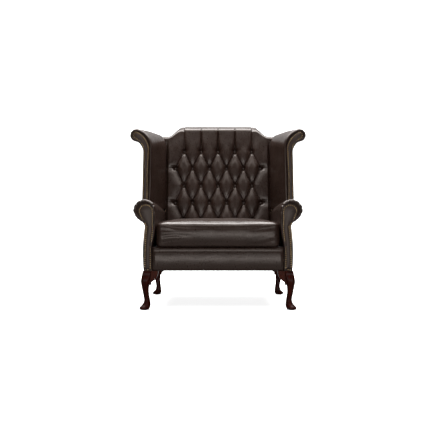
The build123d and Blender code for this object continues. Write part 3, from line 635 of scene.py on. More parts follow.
def makeBack():
    frontRows, topRows, bare = backGrid["frontRows"], backGrid["topRows"], backGrid["bare"]
    frontWidth, rearWidth = crest["frontWidth"], crest["rearWidth"]
    # rows on the front are level lines, rows over the crest follow its outline
    sAll, tAll, xAll = [], [], []
    for place in np.linspace(-1, 1, backGrid["columns"]):
        side = max(abs(place) - backGrid["plain"], 0) / (1 - backGrid["plain"])
        front = min(abs(place) / backGrid["plain"], 1) * bare + side * (frontWidth - bare)
        front = math.copysign(front, place)
        rowsUp, depthIn = backProfile(front, 900)
        start = np.searchsorted(rowsUp, crestHeight(front) - crest["edgeDrop"] - 0.05)
        low = np.linspace(lowest, rowsUp[start], frontRows, endpoint=False)
        high = resample(np.stack([rowsUp[start:], depthIn[start:]], 1), topRows)
        s = np.concatenate([low, high[:, 0]])
        t = np.concatenate([np.zeros(frontRows), high[:, 1]])
        # wider over the shoulders and behind the crest than on the front
        widen = np.maximum(widened("overFront", t), widened("atShoulder", s)) + widened("overRear", t)
        sAll.append(s)
        tAll.append(t)
        xAll.append(front + widen * math.copysign(side, place) * (rearWidth - frontWidth))
    s, t, x = np.array(sAll).T, np.array(tAll).T, np.array(xAll).T
    # turn of the leather at each row, so that the tufting pushes straight into the padding
    ds, dt = np.gradient(s, axis=0), np.gradient(t, axis=0)
    length = np.hypot(ds, dt) + 1e-9
    unrolled = s.copy()
    steps = np.hypot(np.diff(s[frontRows - 1:], axis=0), np.diff(t[frontRows - 1:], axis=0))
    unrolled[frontRows:] = s[frontRows - 1] + np.cumsum(steps, 0)
    over = smoothStep(0.0, 0.075, t)                       # flutes grow shallow over the top
    depth = tuftDepth(x, unrolled) * (1 - backGrid["shallow"] * over) + 0.001 * over
    depth = depth * (1 - smoothStep(0.098, 0.120, t))
    edgeTuck = backGrid["tuck"] * smoothStep(frontWidth - backGrid["tuckWidth"], frontWidth, np.abs(x))
    edgeTuck = edgeTuck * smoothStep(0.83, 0.76, s)
    uneven = backGrid["wave"] * rollNoise(np.stack([x, unrolled, t], -1), 0.045, 3)
    depth = depth + (edgeTuck + uneven) * (1 - over)
    points = onBack(x, s - dt / length * depth, t + ds / length * depth)
    # closed behind: the widened shoulders hang down into the wings, the rest turns in over the frame
    index = np.arange(x.size).reshape(x.shape)
    rim = gridRim(index.T)
    edgeX, edgeS, edgeT = x.ravel()[rim], s.ravel()[rim], t.ravel()[rim]
    hanging = (np.abs(edgeX) > frontWidth + 0.004) & (edgeS > backGrid["hangFrom"])
    hung = onBack(edgeX * 0.997, edgeS - backGrid["hang"], np.minimum(edgeT, 0.0970))
    turned = onBack(np.clip(edgeX, -frontWidth, frontWidth) * 0.995, np.minimum(edgeS, 0.86), 0.0930)
    base, count = x.size, len(rim)
    faces = gridFaces(*x.shape)
    faces += [[rim[k], rim[(k + 1) % count], base + (k + 1) % count, base + k] for k in range(count)]
    body = np.vstack([points.reshape(-1, 3), np.where(hanging[:, None], hung, turned)])
    return outward(addMesh("backPadButtoned", body, faces))


backPad = dressed(makeBack(), hide, "back_pad")
print("buttoned back made:", len(backPad.data.vertices), "points")


buttonForm = {"radius": 0.0108, "sink": 0.0045, "sides": 28, "folds": 9, "gather": 0.012,
              # share of the radius and how far in, from the middle of the dome to under its rim
              "profile": [(0.0, -0.0062), (0.35, -0.0057), (0.62, -0.0044), (0.84, -0.0022), (0.97, 0.0006),
                          (1.0, 0.0030), (0.93, 0.0052), (0.80, 0.0065)]}


def makeButtons():
    # covered buttons: low dome with the leather drawn in under its rim
    profile, sides = buttonForm["profile"], buttonForm["sides"]
    centre = tufting["buttonDepth"] + buttonForm["sink"]
    angle = np.linspace(0, 2 * math.pi, sides, endpoint=False)
    rings = len(profile) - 1
    points, faces = [], []
    for height, places in buttonRows:
        for place in places:
            start = len(points)
            for share, into in profile[1:]:
                gather = 1 + buttonForm["gather"] * share * np.cos(angle * buttonForm["folds"])
                radius = buttonForm["radius"] * share * gather
                across, up = np.cos(angle) * radius, np.sin(angle) * radius
                points += list(onBack(place + across, height + up, centre + into))
            faces += gridFaces(rings, sides, False, True, start)
            points.append(onBack(np.array(place), np.array(height), np.array(centre + profile[0][1])))
            faces += [[start + k, start + (k + 1) % sides, len(points) - 1] for k in range(sides)]
            faces.append([start + (rings - 1) * sides + k for k in range(sides)])
    return outward(addMesh("backButtonsCovered", points, faces))


dressed(makeButtons(), hideWelt, "back_buttons")


# Arms and wings: sections from front to rear, rolled over at the front edge and gathered round the scroll

quarter = 1 - math.cos(math.pi / 4)                         # rise of a quarter round of radius one
rimLip = 0.95                                               # how far the front edge rolls in to the facing

armForm = {
    "inner": 0.365, "innerRise": 0.0095, "bend": 0.3463, "headX": 0.405, "head": 0.547, "radius": 0.062,
    "outerRise": 0.013, "neckX": 0.402, "neck": 0.477, "underX": 0.3796, "bottom": 0.3125,
    "clear": 0.3424, "front": -0.4165, "rear": 0.335, "fall": 0.033, "fallFrom": -0.4043,
    "fallLength": 0.745, "rim": 0.0190, "rimDepth": 0.0175, "rimShare": 0.4, "wave": 0.0012,
    "swell": 0.0022, "swellLength": 0.7, "rollFrom": 0.085, "rollTo": 0.030, "gap": 0.0005,
    "rearCap": 0.0050, "close": 0.09, "sections": (26, 62),
    # angles of the gathers round the scroll
    "gathers": (-62, -20, 12, 40, 72, 108, 150, 186, 215), "gatherDepth": 0.0036,
    "gatherWidth": 3.4, "gatherSpread": 60, "gatherRun": 0.022, "rollShare": 0.35, "rollRun": 0.026,
    "runs": (6, 66, 34, 34, 34, 8, 22, 8),              # points on each arc of a section
}
wingForm = {
    "front": -0.1060, "turn": 0.2328, "rear": 0.395, "inner": 0.403, "outer": 0.458, "lean": 0.008,
    "waist": 0.915, "head": (0.490, 1.003), "radius": 0.040, "rise": 0.031, "throat": 0.012, "foot": 0.56,
    "rearInner": 0.3425, "rearOuter": 0.392, "rearWaist": 0.975, "rearHead": (0.374, 1.027),
    "rearRadius": 0.020, "rearRise": 0.008, "rearUnder": 0.9, "rearThroat": 0.0003, "rim": 0.0165,
    "rimDepth": 0.0155, "panel": 0.0022, "throatFill": 0.0095, "wave": 0.0014, "swell": 0.0045,
    "swellLength": 0.34, "gap": 0.0005, "close": 0.08, "sections": (20, 60),
    "gathers": (-70, -30, 10, 45, 80, 118), "gatherDepth": 0.0022, "gatherWidth": 4, "gatherSpread": 70,
    "gatherRun": 0.020, "rollShare": 0.0, "rollRun": 0.020, "runs": (60, 40, 24, 24, 26, 60, 16),
}


def armFall(y):
    # the arm falls from front to rear
    return armForm["fall"] * (y - armForm["fallFrom"]) / armForm["fallLength"]


def armLoop(y):
    # section of the padded arm at a depth, (x, z)
    form, drop = armForm, armFall(y)
    head, neck, radius, hx = form["head"] - drop, form["neck"] - drop, form["radius"], form["headX"]
    steps = [((form["inner"], form["bottom"]), 0), ((form["inner"], form["bend"]), form["innerRise"]),
             ((hx - radius, head), radius * quarter), ((hx, head + radius), radius * quarter),
             ((hx + radius, head), form["outerRise"]), ((form["neckX"], neck), 0),
             ((form["underX"], neck), 0), ((form["underX"], form["bottom"]), 0)]
    return outlineRun(steps, form["runs"]), (hx, head)


def rolledEdge(rim, depth, count=16):
    # round front edge from the facing outwards: how far back, how far in, and its two directions
    for angle in np.linspace(-rimLip, math.pi / 2, count):
        into = rim * (1 - (math.sin(angle) + math.sin(rimLip)) / (1 + math.sin(rimLip)))
        yield depth * (1 - math.cos(angle)), into, math.sin(angle), math.cos(angle)


def stations(form):
    # places along the depth: the rolled edge, close sections behind it, wider ones to the rear
    front = form["front"]
    rings = [(front + back, into, aside, ahead)
             for back, into, aside, ahead in rolledEdge(form["rim"], form["rimDepth"])]
    near = np.linspace(front + form["rimDepth"], front + form["close"], form["sections"][0])[1:]
    far = np.linspace(front + form["close"], form["rear"], form["sections"][1])[1:]
    return rings + [(y, 0.0, 1.0, 0.0) for y in np.concatenate([near, far])]


def gathered(loop, centre, depthIn, form):
    # folds that run back from the front edge round the scroll, with small rolls beside them
    angle = np.degrees(np.arctan2(loop[:, 1] - centre[1], loop[:, 0] - centre[0]))
    width = form["gatherWidth"] + form["gatherSpread"] * depthIn
    pull = np.zeros(len(loop))
    for place in form["gathers"]:
        away = (angle - place + 180) % 360 - 180
        roll = np.exp(-((np.abs(away) - 2.4 * width) / width) ** 2)
        pull += np.exp(-(away / width) ** 2) * math.exp(-depthIn / form["gatherRun"])
        pull -= form["rollShare"] * roll * math.exp(-depthIn / form["rollRun"])
    return pull


def atDepth(loop, y):
    return np.stack([loop[:, 0], np.full(len(loop), y), loop[:, 1]], 1)


def closedPad(name, points, rearShift):
    # the rear follows the rake of the back
    depth = framePlane(np.maximum(points[..., 2], backFoot[2])) + rearShift
    points[..., 1] = np.minimum(points[..., 1], depth)
    return outward(addMesh(name, points, tubeFaces(*points.shape[:2], way=-1)))


def makeArm():
    form, front, runs = armForm, armForm["front"], armForm["runs"]
    rings = stations(form)
    count = sum(runs)
    free = np.ones(count)
    free[:runs[0]] = free[-sum(runs[-3:]):] = 0              # faces against the frame stay where they are
    blended = np.convolve(np.concatenate([free[-8:], free, free[:8]]), np.ones(9) / 9, "same")[8:-8]
    # the inside stays full to the front
    along = np.arange(count)
    blended *= 1 - form["rimShare"] * smoothStep(4, 16, along) * smoothStep(84, 56, along)
    points = np.zeros((len(rings), count, 3))
    for row, (y, into, aside, ahead) in enumerate(rings):
        loop, centre = armLoop(max(y, front + form["rimDepth"]))
        onRoll = smoothStep(centre[1] - form["rollFrom"], centre[1] - form["rollTo"], loop[:, 1]) * free
        uneven = form["wave"] * rollNoise(atDepth(loop, y), 0.06, 5) * free
        gather = form["gatherDepth"] * gathered(loop, centre, y - front, form) * onRoll
        shaped = inset(inset(loop, into * blended), gather * max(aside, 0.25) + uneven)
        # the stuffing is fullest midway between front and rear
        full = form["swell"] * math.sin(math.pi * np.clip((y - front) / form["swellLength"], 0, 1))
        shaped = inset(shaped, -full * free)
        points[row, :, 0] = np.maximum(shaped[:, 0], form["clear"])
        points[row, :, 1] = y + gather * ahead
        points[row, :, 2] = shaped[:, 1]
    cap = form["rearCap"] * smoothStep(0.398, 0.404, points[..., 0])
    return closedPad("armPadRight", points, cap - form["gap"])


bothSides(makeArm(), hide, "armPad", "arm_pad")
print("arms made")


def wingShare(y):
    # 0 at the front section of the wing, 1 at its rear section
    start = wingForm["front"] + 0.009
    return np.clip((y - start) / (wingForm["turn"] - start), 0, 1)


def wingLoop(y):
    # section of the padded wing at a depth, between the front and the rear one
    form, share = wingForm, wingShare(y)

    def steps(inner, outer, lean, waist, head, radius, under, rise, throat):
        return [((inner, form["foot"]), 0), ((inner - lean, waist), rise),
                ((head[0], head[1] + radius), radius * quarter),
                ((head[0] + radius, head[1]), (1 - under) * radius * quarter),
                ((head[0] + under * radius, head[1] - radius), -throat),
                ((outer - lean, waist), 0), ((outer, form["foot"]), 0)]

    front = steps(form["inner"], form["outer"], form["lean"], form["waist"], form["head"], form["radius"], 0,
                  form["rise"], form["throat"])
    rear = steps(form["rearInner"], form["rearOuter"], 0, form["rearWaist"], form["rearHead"],
                 form["rearRadius"], form["rearUnder"], form["rearRise"], form["rearThroat"])
    loop = outlineRun(front, form["runs"]) * (1 - share) + outlineRun(rear, form["runs"]) * share
    return loop, np.array(form["head"]) * (1 - share) + np.array(form["rearHead"]) * share


def makeWing():
    form, front, runs = wingForm, wingForm["front"], wingForm["runs"]
    rings = stations(form)
    count, scroll, outer = sum(runs), sum(runs[:4]), sum(runs[:5])
    free, outerFace, under = np.ones(count), np.zeros(count), np.zeros(count)
    free[0] = 0
    free[-runs[-1]:] = 0
    outerFace[outer:-runs[-1]] = 1                          # the outside panel lies over this face
    under[scroll:outer + 9] = np.sin(np.linspace(0, math.pi, outer + 9 - scroll)) ** 0.6
    points = np.zeros((len(rings), count, 3))
    for row, (y, into, aside, ahead) in enumerate(rings):
        loop, head = wingLoop(y)
        depthIn = max(y - front, 0)
        near = smoothStep(0.075, 0.045, np.hypot(*(loop - head).T))
        uneven = form["wave"] * rollNoise(atDepth(loop, y), 0.09, 9)
        full = form["swell"] * math.sin(math.pi * np.clip(depthIn / form["swellLength"], 0, 1))
        full = full * smoothStep(0.60, 0.75, loop[:, 1])
        gather = form["gatherDepth"] * gathered(loop, head, depthIn, form) * near * free
        # the throat is filled out behind the front edge
        filled = form["throatFill"] * under * smoothStep(-0.094, -0.080, y) * smoothStep(0.36, 0.24, y)
        shaped = inset(loop, into * free * (1 - 0.65 * outerFace) + form["panel"] * outerFace)
        shaped = inset(shaped, gather * max(aside, 0.25) + (uneven - full) * free * (1 - outerFace) - filled)
        points[row, :, 0], points[row, :, 2] = shaped[:, 0], shaped[:, 1]
        points[row, :, 1] = y + gather * ahead
    return closedPad("wingPadRight", points, -form["gap"])


bothSides(makeWing(), hide, "wingPad", "wing_pad")
print("wings made")


# Facings: nailed panels with a soft front and turned edges

facingForm = {
    "turn": 0.0032, "groove": 0.0012, "wave": 0.0004, "points": 280,
    # outlines as (x, z) and the rise of the arc to the next corner, with the points on each arc
    "arm": {"front": -0.4126, "back": -0.4046, "nail": 0.0070, "puff": 0.0062,
            "outline": [((0.365, 0.2145), 0), ((0.365, 0.3463), 0.002), ((0.353, 0.440), 0),
                        ((0.353, 0.540), 0.043 * quarter), ((0.396, 0.583), 0.043 * quarter),
                        ((0.439, 0.540), 0.004), ((0.397, 0.456), 0.004), ((0.4085, 0.2145), 0)],
            "runs": (30, 24, 24, 26, 26, 26, 44, 12)},
    "wing": {"front": -0.1025, "back": -0.0948, "nail": 0.0065, "puff": 0.0048,
             "outline": [((0.420, 0.562), 0), ((0.420, 0.745), 0), ((0.412, 0.915), 0.021),
                         ((0.490, 1.026), 0.023 * quarter), ((0.513, 1.003), 0.017 * quarter),
                         ((0.4985, 0.980), -0.012), ((0.450, 0.9065), 0), ((0.458, 0.562), 0)],
             "runs": (24, 24, 40, 18, 18, 20, 50, 8)},
}


def medialRun(loop):
    # for each edge point the middle of the panel opposite to it
    inside = np.zeros_like(loop)
    for k, (point, way) in enumerate(zip(loop, unit(inset(loop, 1.0) - loop))):
        offset = loop - point
        along, away = offset @ way, (offset ** 2).sum(1)
        opposite = along > 1e-5
        radius = away[opposite] / (2 * along[opposite])
        inside[k] = point + way * min(radius.min() if len(radius) else 0.02, 0.045)
    for _ in range(14):
        inside = (np.roll(inside, 1, 0) + inside + np.roll(inside, -1, 0)) / 3
    return inside


def paddedPanel(name, form):
    # panel in the plane of the front: turned edge, groove along the nails, soft middle
    loop = resample(outlineRun(form["outline"], form["runs"]), facingForm["points"], True)
    front, turn, nail, groove = form["front"], facingForm["turn"], form["nail"], facingForm["groove"]
    rings = [(form["back"], loop)]
    for angle in np.linspace(0, math.pi / 2, 6):
        edge = front - groove + turn * (1 - math.sin(angle))
        rings.append((edge, inset(loop, turn * (1 - math.cos(angle)))))
    for share in (0.35, 0.7, 1.0):
        sunk = front - groove * math.cos(share * math.pi / 2)
        rings.append((sunk, inset(loop, turn + (nail - turn) * share)))
    inner = inset(loop, nail)
    middle = medialRun(inner)
    for share in (0.06, 0.13, 0.21, 0.31, 0.43, 0.57, 0.72, 0.87, 1.0):
        soft = front - form["puff"] * math.sin(share * math.pi / 2) ** 0.85
        rings.append((soft, inner + (middle - inner) * share))
    points = np.concatenate([atDepth(ring, y) for y, ring in rings])
    uneven = rollNoise(points[:, [0, 2, 1]] * [1, 1, 0], 0.03, 41)
    points[:, 1] += facingForm["wave"] * uneven * (points[:, 1] < front)
    faces = gridFaces(len(rings), len(loop), False, True)
    faces.append(list(range(len(loop)))[::-1])
    return outward(addMesh(name, points, faces))


for part in ("arm", "wing"):
    panel = paddedPanel(part + "FacingRight", facingForm[part])
    bothSides(panel, hideFacing, part + "Facing", part + "_facing")
print("facings made")


# Front border: one padded roll between the arms

borderForm = {
    "half": 0.3647, "low": 0.2142, "high": 0.3458, "front": -0.4085, "rear": -0.3845, "roundTop": 0.032,
    "roundDepth": 0.023, "roundLow": 0.007, "end": 0.02, "belly": 0.0130, "tuck": 0.011, "wave": 0.0007,
    "ripple": 0.0002,
}


def makeBorder():
    form = borderForm
    half, low, high, end, rear = form["half"], form["low"], form["high"], form["end"], form["rear"]
    front, top, under = form["front"], form["roundTop"], form["roundLow"]
    profile = [(rear, low)]
    profile += [(front + under * (1 - math.sin(k)), low + under * (1 - math.cos(k)))
                for k in np.linspace(0, math.pi / 2, 10)]
    profile += [(front, z) for z in np.linspace(low + under, high - top, 34)[1:-1]]
    profile += [(front + form["roundDepth"] * (1 - math.cos(k)), high - top + top * math.sin(k))
                for k in np.linspace(0, math.pi / 2, 14)]
    y, z = np.array(profile + [(rear, high)]).T
    swell = form["belly"] * (1 - np.abs(2 * np.clip((z - low) / (high - low), 0, 1) ** 0.8 - 1) ** 2.0)
    ends = np.linspace(0, 1, 12)[:-1] ** 1.6 * end
    xs = np.concatenate([-half + ends, np.linspace(-half + end, half - end, 170), half - ends[::-1]])
    place = np.stack(np.broadcast_arrays(xs[:, None], y, z), -1)
    inner = np.clip((half - np.abs(place[..., 0])) / end, 0, 1)       # 0 at both ends
    tuck = form["tuck"] * (1 - np.sqrt(1 - (1 - inner) ** 2.2))
    uneven = form["wave"] * rollNoise(place, 0.08, 21)
    uneven = uneven + form["ripple"] * rollNoise(place * [0.25, 1, 1], 0.02, 22)
    frontness = smoothStep(rear, rear - 0.012, y)
    place[..., 1] += frontness * (tuck - swell * (0.4 + 0.6 * inner) + uneven * inner)
    return outward(addMesh("frontBorder", place, tubeFaces(len(xs), len(y), way=-1)))


dressed(makeBorder(), hide, "front_border")
print("front border made")


# Loose seat cushion: boxed cover with a crown, blown up as cloth, then seams and creases

cushionForm = {"half": 0.3405, "front": -0.4082, "rear": 0.1585, "low": 0.3464, "boxed": 0.128,
               "corner": 0.031, "edge": 0.0075, "belly": 0.0110, "pulledIn": 0.0030, "columns": 320,
               "voxel": 0.0060, "room": 0.3416, "reach": 0.014, "gap": 0.0005,
               "pressure": 2.2, "travel": 0.0018, "frames": 12,
               # how far in from the edge, and the crown's height there
               "crown": [(0.0, 0.0), (0.007, 0.0012), (0.015, 0.0046), (0.040, 0.0118), (0.078, 0.0185),
                         (0.125, 0.0232), (0.186, 0.0266), (0.240, 0.0280), (0.300, 0.0282)],
               "under": (0.20, 0.12, 0.06, 0.03),
               "over": (0.011, 0.016, 0.024, 0.034, 0.046, 0.060, 0.078, 0.10, 0.125, 0.155, 0.19, 0.23,
                        0.262),
               # seams as height share, width and depth
               "seams": [(0.060, 0.014, 0.0016), (0.965, 0.016, 0.0012)],
               # creases of the front: side, height share, slope, how far in, width, depth
               "creases": [(-1, 0.47, 0.06, 0.24, 0.060, 0.0021), (-1, 0.73, -0.30, 0.17, 0.065, 0.0014),
                           (-1, 0.20, 0.20, 0.20, 0.055, 0.0013), (1, 0.80, -0.12, 0.20, 0.060, 0.0014),
                           (1, 0.26, -0.28, 0.26, 0.070, 0.0019), (1, 0.52, 0.05, 0.12, 0.055, 0.0008)]}
coverCloth = {"quality": 6, "mass": 0.35, "tension_stiffness": 24, "compression_stiffness": 24,
              "shear_stiffness": 12, "bending_stiffness": 2.5, "use_pressure": True}


def roundedRing(halfX, halfY, corner, count):
    # level ring of a rounded rectangle, the same number of points on each
    corner = max(min(corner, halfX * 0.98, halfY * 0.98), 1e-4)
    points = []
    for wayX, wayY, start in ((1, -1, -90), (1, 1, 0), (-1, 1, 90), (-1, -1, 180)):
        angle = np.radians(start + np.linspace(0, 90, 14))
        points.append(np.stack([wayX * (halfX - corner) + corner * np.cos(angle),
                                wayY * (halfY - corner) + corner * np.sin(angle)], 1))
    return resample(np.concatenate(points), count, True)


def applyAll(piece):
    # the modifiers' result becomes the piece's own mesh
    graph = bpy.context.evaluated_depsgraph_get()
    result = bpy.data.meshes.new_from_object(piece.evaluated_get(graph), depsgraph=graph)
    piece.modifiers.clear()
    old = piece.data
    piece.data = result
    bpy.data.meshes.remove(old)
    smoothed(piece)


def makeCushion():
    form = cushionForm
    half, low, boxed, edge, columns = form["half"], form["low"], form["boxed"], form["edge"], form["columns"]
    middleY, halfY = (form["front"] + form["rear"]) / 2, (form["rear"] - form["front"]) / 2
    turn = np.linspace(0, math.pi / 2, 6)
    rings = [(draw, 0.0) for draw in form["under"]]
    rings += [(edge * (1 - math.sin(k)), edge * (1 - math.cos(k))) for k in turn[:-1]]
    rings += [(0.0, z) for z in np.linspace(edge, boxed - edge, 22)]
    rings += [(edge * (1 - math.cos(k)), boxed - edge + edge * math.sin(k)) for k in turn[1:]]
    away, rise = zip(*form["crown"])
    rings += [(draw, boxed + np.interp(draw, away, rise)) for draw in form["over"]]
    points = np.zeros((len(rings), columns, 3))
    for row, (draw, level) in enumerate(rings):
        flat = roundedRing(half - draw, halfY - draw, form["corner"] + draw * 0.55, columns)
        u, v = np.abs(flat[:, 0]) / half, np.abs(flat[:, 1]) / halfY
        wall = 1 - np.abs(2 * np.clip(level / boxed, 0, 1) - 1) ** 2.0
        frontRear, aside = smoothStep(0.93, 0.985, v), smoothStep(0.94, 0.985, u)
        rearPull = np.clip(1 - u ** 4, 0, 1) * frontRear * (flat[:, 1] > 0)
        sidePull = np.clip(1 - v ** 4, 0, 1) * aside
        swell = form["belly"] * wall * np.maximum(frontRear * (1 - u ** 10), 0.35 * aside)
        swell = swell - form["pulledIn"] * (rearPull + sidePull)
        out = flat + np.sign(flat) * np.stack([aside, frontRear], 1) * swell[:, None]
        points[row] = np.stack([out[:, 0], middleY + out[:, 1], np.full(columns, low + level)], 1)
    piece = outward(addMesh("seatCushion", points, tubeFaces(len(rings), columns), body="seat_cushion"))
    remesh = piece.modifiers.new("evenMesh", "REMESH")
    remesh.mode, remesh.voxel_size, remesh.use_smooth_shade = "VOXEL", form["voxel"], True
    applyAll(piece)
    return piece


def inflate(piece, frames, pressure, travel):
    # short cloth run with air pressure, each point kept near its start
    before = coordinates(piece)
    clothRun = piece.modifiers.new("leatherCover", "CLOTH")
    for setting, value in coverCloth.items():
        setattr(clothRun.settings, setting, value)
    clothRun.settings.uniform_pressure_force = pressure
    clothRun.settings.effector_weights.gravity = 0
    clothRun.collision_settings.use_collision = False
    clothRun.collision_settings.use_self_collision = False
    clothRun.point_cache.frame_start, clothRun.point_cache.frame_end = 1, frames
    scene = bpy.context.scene
    for frameNumber in range(1, frames + 1):
        scene.frame_set(frameNumber)
    after = coordinates(piece.evaluated_get(bpy.context.evaluated_depsgraph_get()))
    piece.modifiers.clear()
    scene.frame_set(1)
    normals = np.empty(before.size)
    piece.data.vertices.foreach_get("normal", normals)
    normals = normals.reshape(-1, 3)
    # the foam holds the cover out, so only its way outwards and along the cover is kept
    move = after - before
    move -= normals * np.minimum((move * normals).sum(1), 0)[:, None]
    length = np.linalg.norm(move, axis=1)
    print("cushion cover moved up to", round(length.max() * 1000, 1), "mm")
    return before + move * np.minimum(1, travel / np.maximum(length, 1e-9))[:, None]


def shapeCushion(piece):
    form, low = cushionForm, cushionForm["low"]
    co = inflate(piece, form["frames"], form["pressure"], form["travel"])
    level = (co[:, 2] - low) / form["boxed"]
    side, front = np.abs(co[:, 0]), form["front"]
    frontFace = smoothStep(front + 0.022, front + 0.004, co[:, 1]) * smoothStep(1.04, 0.97, level)
    fromEnd = form["half"] - side
    crease, seam = np.zeros(len(co)), np.zeros(len(co))
    for way, height, slope, reach, width, depth in form["creases"]:
        line = level - (height + slope * (fromEnd - 0.03) / 0.2 + 0.02 * np.sin(fromEnd * 31 + way))
        fade = smoothStep(0.012, 0.045, fromEnd) * smoothStep(reach, reach * 0.30, fromEnd)
        roll = np.exp(-((line - 1.9 * width) / width) ** 2)
        crease += depth * fade * (co[:, 0] * way > 0) * (np.exp(-(line / width) ** 2) - 0.45 * roll)
    for height, width, depth in form["seams"]:
        seam += depth * np.exp(-((level - height) / width) ** 2)
    soft = 0.0010 * rollNoise(co, 0.070, 31) + 0.0003 * rollNoise(co * [0.4, 1, 1], 0.022, 32)
    top = smoothStep(0.80, 1.02, level)
    co[:, 1] += frontFace * (crease + seam + soft * (1 - top))
    co[:, 0] -= np.sign(co[:, 0]) * smoothStep(0.322, 0.336, side) * (seam + soft * 0.5)
    co[:, 2] += top * (soft * 1.2 + 0.0010 * rollNoise(co, 0.14, 33))
    # it lies flat on the deck, between the arms and in front of the back
    co[:, 2] = np.maximum(co[:, 2], low)
    co[:, 0] = np.clip(co[:, 0], -form["room"], form["room"])
    co[:, 1] = np.clip(co[:, 1], front - form["reach"], framePlane(co[:, 2], 0.0) + form["gap"])
    piece.data.vertices.foreach_set("co", co.ravel())
    piece.data.update()
    finer = piece.modifiers.new("softer", "SUBSURF")
    finer.levels = finer.render_levels = 1
    applyAll(piece)


cushion = makeCushion()
shapeCushion(cushion)
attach(cushion, "seat_cushion")
dressed(cushion, hide, "seat_cushion_cover")
print("cushion made:", len(cushion.data.vertices), "points")


# Outside panels: leather drawn flat over a thin wadding, with welts along their edges

panelForm = {
    "thick": 0.0038, "puff": 0.0026, "puffReach": 0.045, "drawn": 0.0030, "roll": 0.0030, "wave": 0.0007,
    "half": 0.411, "narrower": 0.015, "low": 0.026, "armFront": -0.4042, "armLow": 0.2144,
    "armHollow": 0.032, "armLean": 0.009, "wingFront": -0.0862, "wingHigh": 0.900, "sideLow": 0.022,
    "sideHigh": 0.862, "sideFrom": 0.0985, "sideDepth": 0.0275, "backDepth": 0.130,
}


def slackPanel(name, outer, away, seed):
    # panel from a grid of its outer side: soft middle, edges rolled in, closed behind
    rows, columns = outer.shape[:2]
    up = np.linalg.norm(np.diff(outer, axis=0), axis=2).sum(0).mean() * np.linspace(0, 1, rows)[:, None]
    along = np.linalg.norm(np.diff(outer, axis=1), axis=2).sum(1).mean() * np.linspace(0, 1, columns)[None, :]
    edge = np.minimum(np.minimum(up, up[-1] - up), np.minimum(along, along[:, -1:] - along))
    lift = panelForm["puff"] * (1 - np.exp(-edge / panelForm["puffReach"]))
    lift = lift - panelForm["drawn"] * np.exp(-edge / panelForm["roll"])
    lift = lift + panelForm["wave"] * rollNoise(outer, 0.11, seed) * smoothStep(0.0, 0.03, edge)
    points = np.stack([outer + lift[..., None] * away, outer - panelForm["thick"] * away])
    total = rows * columns
    rim = gridRim(np.arange(total).reshape(rows, columns))
    faces = gridFaces(rows, columns)
    faces += [[total + k for k in face[::-1]] for face in faces]
    faces += [[rim[k], rim[k - 1], total + rim[k - 1], total + rim[k]] for k in range(len(rim))]
    return outward(addMesh(name, points, faces))


def shares(rows, columns, start=0):
    return np.meshgrid(np.linspace(0, 1, rows), np.linspace(start, 1, columns), indexing="ij")


def backHalf(s):
    # half width of the frame, narrower above the arms
    return panelForm["half"] - panelForm["narrower"] * np.clip((s - 0.271) / 0.124, 0, 1)


def armOutside():
    v, u = shares(56, 130)
    front, low = panelForm["armFront"], panelForm["armLow"]
    y = front + u * (framePlane(backFoot[2]) - front)
    z = low + v * (armForm["neck"] - armFall(y) - low)
    y = front + u * (framePlane(z) - front)
    x = panelForm["half"] - panelForm["armLean"] * v + panelForm["armHollow"] * v * (1 - v)
    return np.stack([x, y, z], -1)


def wingOutside():
    v, u = shares(60, 90)
    form, front = wingForm, panelForm["wingFront"]
    y = front + u * (framePlane(0.58) - front)
    share = wingShare(y)
    foot = form["outer"] * (1 - share) + form["rearOuter"] * share
    # it starts on the round of the arm
    low = np.sqrt(np.maximum(armForm["radius"] ** 2 - (foot - armForm["headX"]) ** 2, 0)) - 0.004
    low = low + armForm["head"] - armFall(y)
    z = low + v * (panelForm["wingHigh"] - low)
    y = front + u * (framePlane(z) - front)
    lean = form["lean"] * np.clip((z - form["foot"]) / (form["waist"] - form["foot"]), 0, 1)
    return np.stack([foot - lean * (1 - share), y, z], -1)


def backOutside():
    v, u = shares(110, 121, -1)
    x = u * backHalf(v * 0.88)
    return onBack(x, panelForm["low"] + v * (crestHeight(x) - panelForm["low"]), panelForm["backDepth"])


def backSide():
    v, u = shares(120, 9)
    s = panelForm["sideLow"] + v * (panelForm["sideHigh"] - panelForm["sideLow"])
    return onBack(backHalf(s), s, panelForm["sideFrom"] + u * panelForm["sideDepth"])


sideways = np.array([1.0, 0.0, 0.0])
outsides = {"armOutside": armOutside(), "wingOutside": wingOutside(), "backSide": backSide()}
for seed, (name, node) in enumerate((("armOutside", "arm_outside"), ("wingOutside", "wing_outside"),
                                     ("backSide", "back_side")), 51):
    bothSides(slackPanel(name + "Right", outsides[name], sideways, seed), hideBack, name, node)
dressed(slackPanel("backOutsidePanel", backOutside(), intoBack, 54), hideBack, "back_outside")
print("outside panels made")


weltForm = {"size": 0.0026, "rearSize": 0.00286, "half": 0.3935, "crestLift": 0.0005, "crestDepth": 0.1285,
            "sideDepth": 0.1275, "low": 0.024, "high": 0.855}


def makeWelts():
    # covered cords along the seams of the outside panels
    form, size = weltForm, weltForm["size"]
    runs = {"armWelt": (outsides["armOutside"][-1], 0.3, 90),
            "wingWelt": (outsides["wingOutside"][-1], 0.2, 70),
            "sideWelt": (outsides["backSide"][:, 0], 0.2, 130)}
    for name, (run, aside, count) in runs.items():
        path = resample(run + sideways * size * aside, count)
        welt = finishWith(tube(name + "Right", path, size), hideWelt)
        finishWith(mirrored(welt, name + "Left"), hideWelt)
    across = np.linspace(1, -1, 161) * form["half"]
    up = np.linspace(form["low"], form["high"], 90)
    path = np.concatenate([onBack(backHalf(up), up, form["sideDepth"]),
                           onBack(across, crestHeight(across) + form["crestLift"], form["crestDepth"]),
                           onBack(-backHalf(up), up, form["sideDepth"])[::-1]])
    finishWith(tube("backWelt", resample(path, 520), form["rearSize"]), hideWelt)


makeWelts()
print("welts made")


